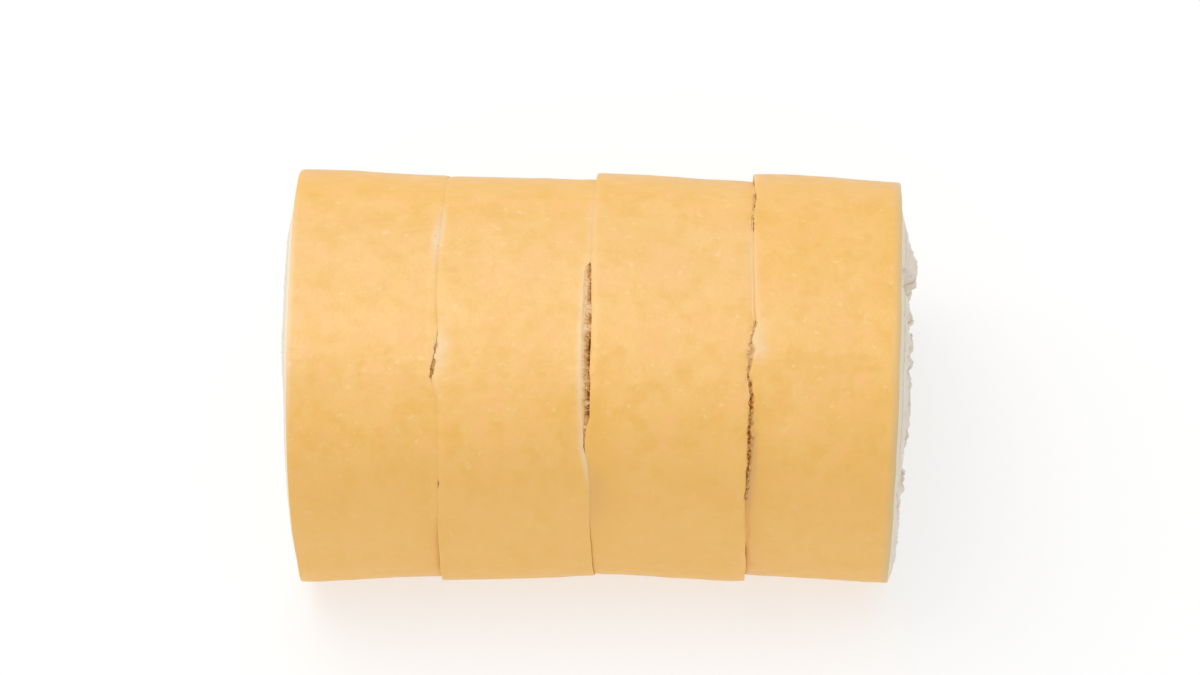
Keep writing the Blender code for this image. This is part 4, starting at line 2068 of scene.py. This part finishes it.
@dataclass(frozen=True)
class Studio:
    """The floor, the light and the camera.

    Attributes:
        floor_size: The floor's side.
        floor_colour: The floor's colour.
        floor_roughness: How matt it is.
        floor_glow: How much light it gives off, as a lit table does.
        sky: How bright the light from all round is.
        lamps: The soft lights.
        azimuth: The camera's direction, round from the front.
        elevation: The camera's height above the horizon.
        distance: From the camera to what it looks at.
        focal_pixels: The focal length, in pixels of the photograph.
        aim: The point that the camera would have to look at to be centred on the roll.
        drop: How many pixels below the picture's middle that point appears.
        picture_width: The photograph's width, in pixels.
        sensor: The camera's sensor width, in millimetres.
        nearest: How near the camera can still see.
    """

    floor_size: float = 3.0
    floor_colour: Colour = screen_colour(172, 172, 172)
    floor_roughness: float = 0.9
    floor_glow: float = 0.58
    sky: float = 0.81
    lamps: tuple[Lamp, ...] = (Lamp("overhead", (-0.4, 0.3, 1.05), 0.9, 4.1),)
    azimuth: float = math.radians(1.45)
    elevation: float = math.radians(56)
    distance: float = 1.7
    focal_pixels: float = 6582
    aim: tuple[float, float, float] = (0.14 * MM, 0.45 * MM, 33 * MM)
    drop: float = 38.5
    picture_width: int = 1200
    sensor: float = 36.0
    nearest: float = 0.05

    def lay_floor(self) -> None:
        """Lays the floor."""
        half = self.floor_size / 2
        corners = [(-half, -half, 0), (half, -half, 0), (half, half, 0), (-half, half, 0)]
        floor = placed("floor", corners, [(0, 1, 2, 3)])
        graph = Graph("floor")
        graph.shader.inputs["Base Color"].default_value = self.floor_colour
        graph.shader.inputs["Roughness"].default_value = self.floor_roughness
        graph.shader.inputs["Emission Color"].default_value = (1, 1, 1, 1)
        graph.shader.inputs["Emission Strength"].default_value = self.floor_glow
        floor.data.materials.append(graph.material)

    def light(self) -> None:
        """Sets up the light from all round and the soft lights."""
        scene = bpy.context.scene
        scene.view_settings.view_transform = "Standard"
        scene.view_settings.look = "None"
        world = bpy.data.worlds.new("studio")
        world.use_nodes = True
        world.node_tree.nodes["Background"].inputs["Color"].default_value = (1, 1, 1, 1)
        world.node_tree.nodes["Background"].inputs["Strength"].default_value = self.sky
        scene.world = world
        for lamp in self.lamps:
            lamp.hang()

    def film(self) -> None:
        """Sets up the camera at the photograph's angle."""
        a, e = self.azimuth, self.elevation
        back = Vector((math.sin(a) * math.cos(e), -math.cos(a) * math.cos(e), math.sin(e)))
        turn = back.to_track_quat("Z", "Y")
        upward = turn @ Vector((0, 1, 0))
        look_at = Vector(self.aim) + upward * (self.drop / self.focal_pixels * self.distance)
        camera = bpy.data.cameras.new("camera")
        camera.sensor_width = self.sensor
        camera.lens = self.sensor * self.focal_pixels / self.picture_width
        camera.clip_start = self.nearest
        holder = bpy.data.objects.new("camera", camera)
        holder.location = look_at + back * self.distance
        holder.rotation_euler = turn.to_euler()
        bpy.context.scene.collection.objects.link(holder)
        bpy.context.scene.camera = holder

    def build(self) -> None:
        """Sets up the whole studio."""
        self.lay_floor()
        self.light()
        self.film()


def main() -> None:
    """Builds the roll, slice by slice, and the studio round it."""
    logging.basicConfig(level=logging.INFO)
    skin = OuterCrepeFinish().material("outer_crepe_finish")
    crepe = InnerCrepeFinish().material("inner_crepe_finish")
    cream = CreamFinish().material("cream_finish")
    seam = SeamFinish().material("seam_finish")
    for number in range(1, len(SLICE_SHAPES) + 1):
        portion = Slice(number)
        OuterCrepe(portion).dress(skin)
        InnerCrepe(portion).dress(crepe)
        Cream(portion).dress(cream)
    for filling in SEAM_BEDS + SEAM_DABS:
        filling.dress(seam)
    EndCrumbs("left_crumbs", number=1, end=End.LEFT, seed=3, largest=1.1 * MM).dress(cream)
    EndCrumbs("right_crumbs", number=4, end=End.RIGHT, seed=8, count=240).dress(cream)
    Studio().build()


if __name__ == "__main__":
    main()
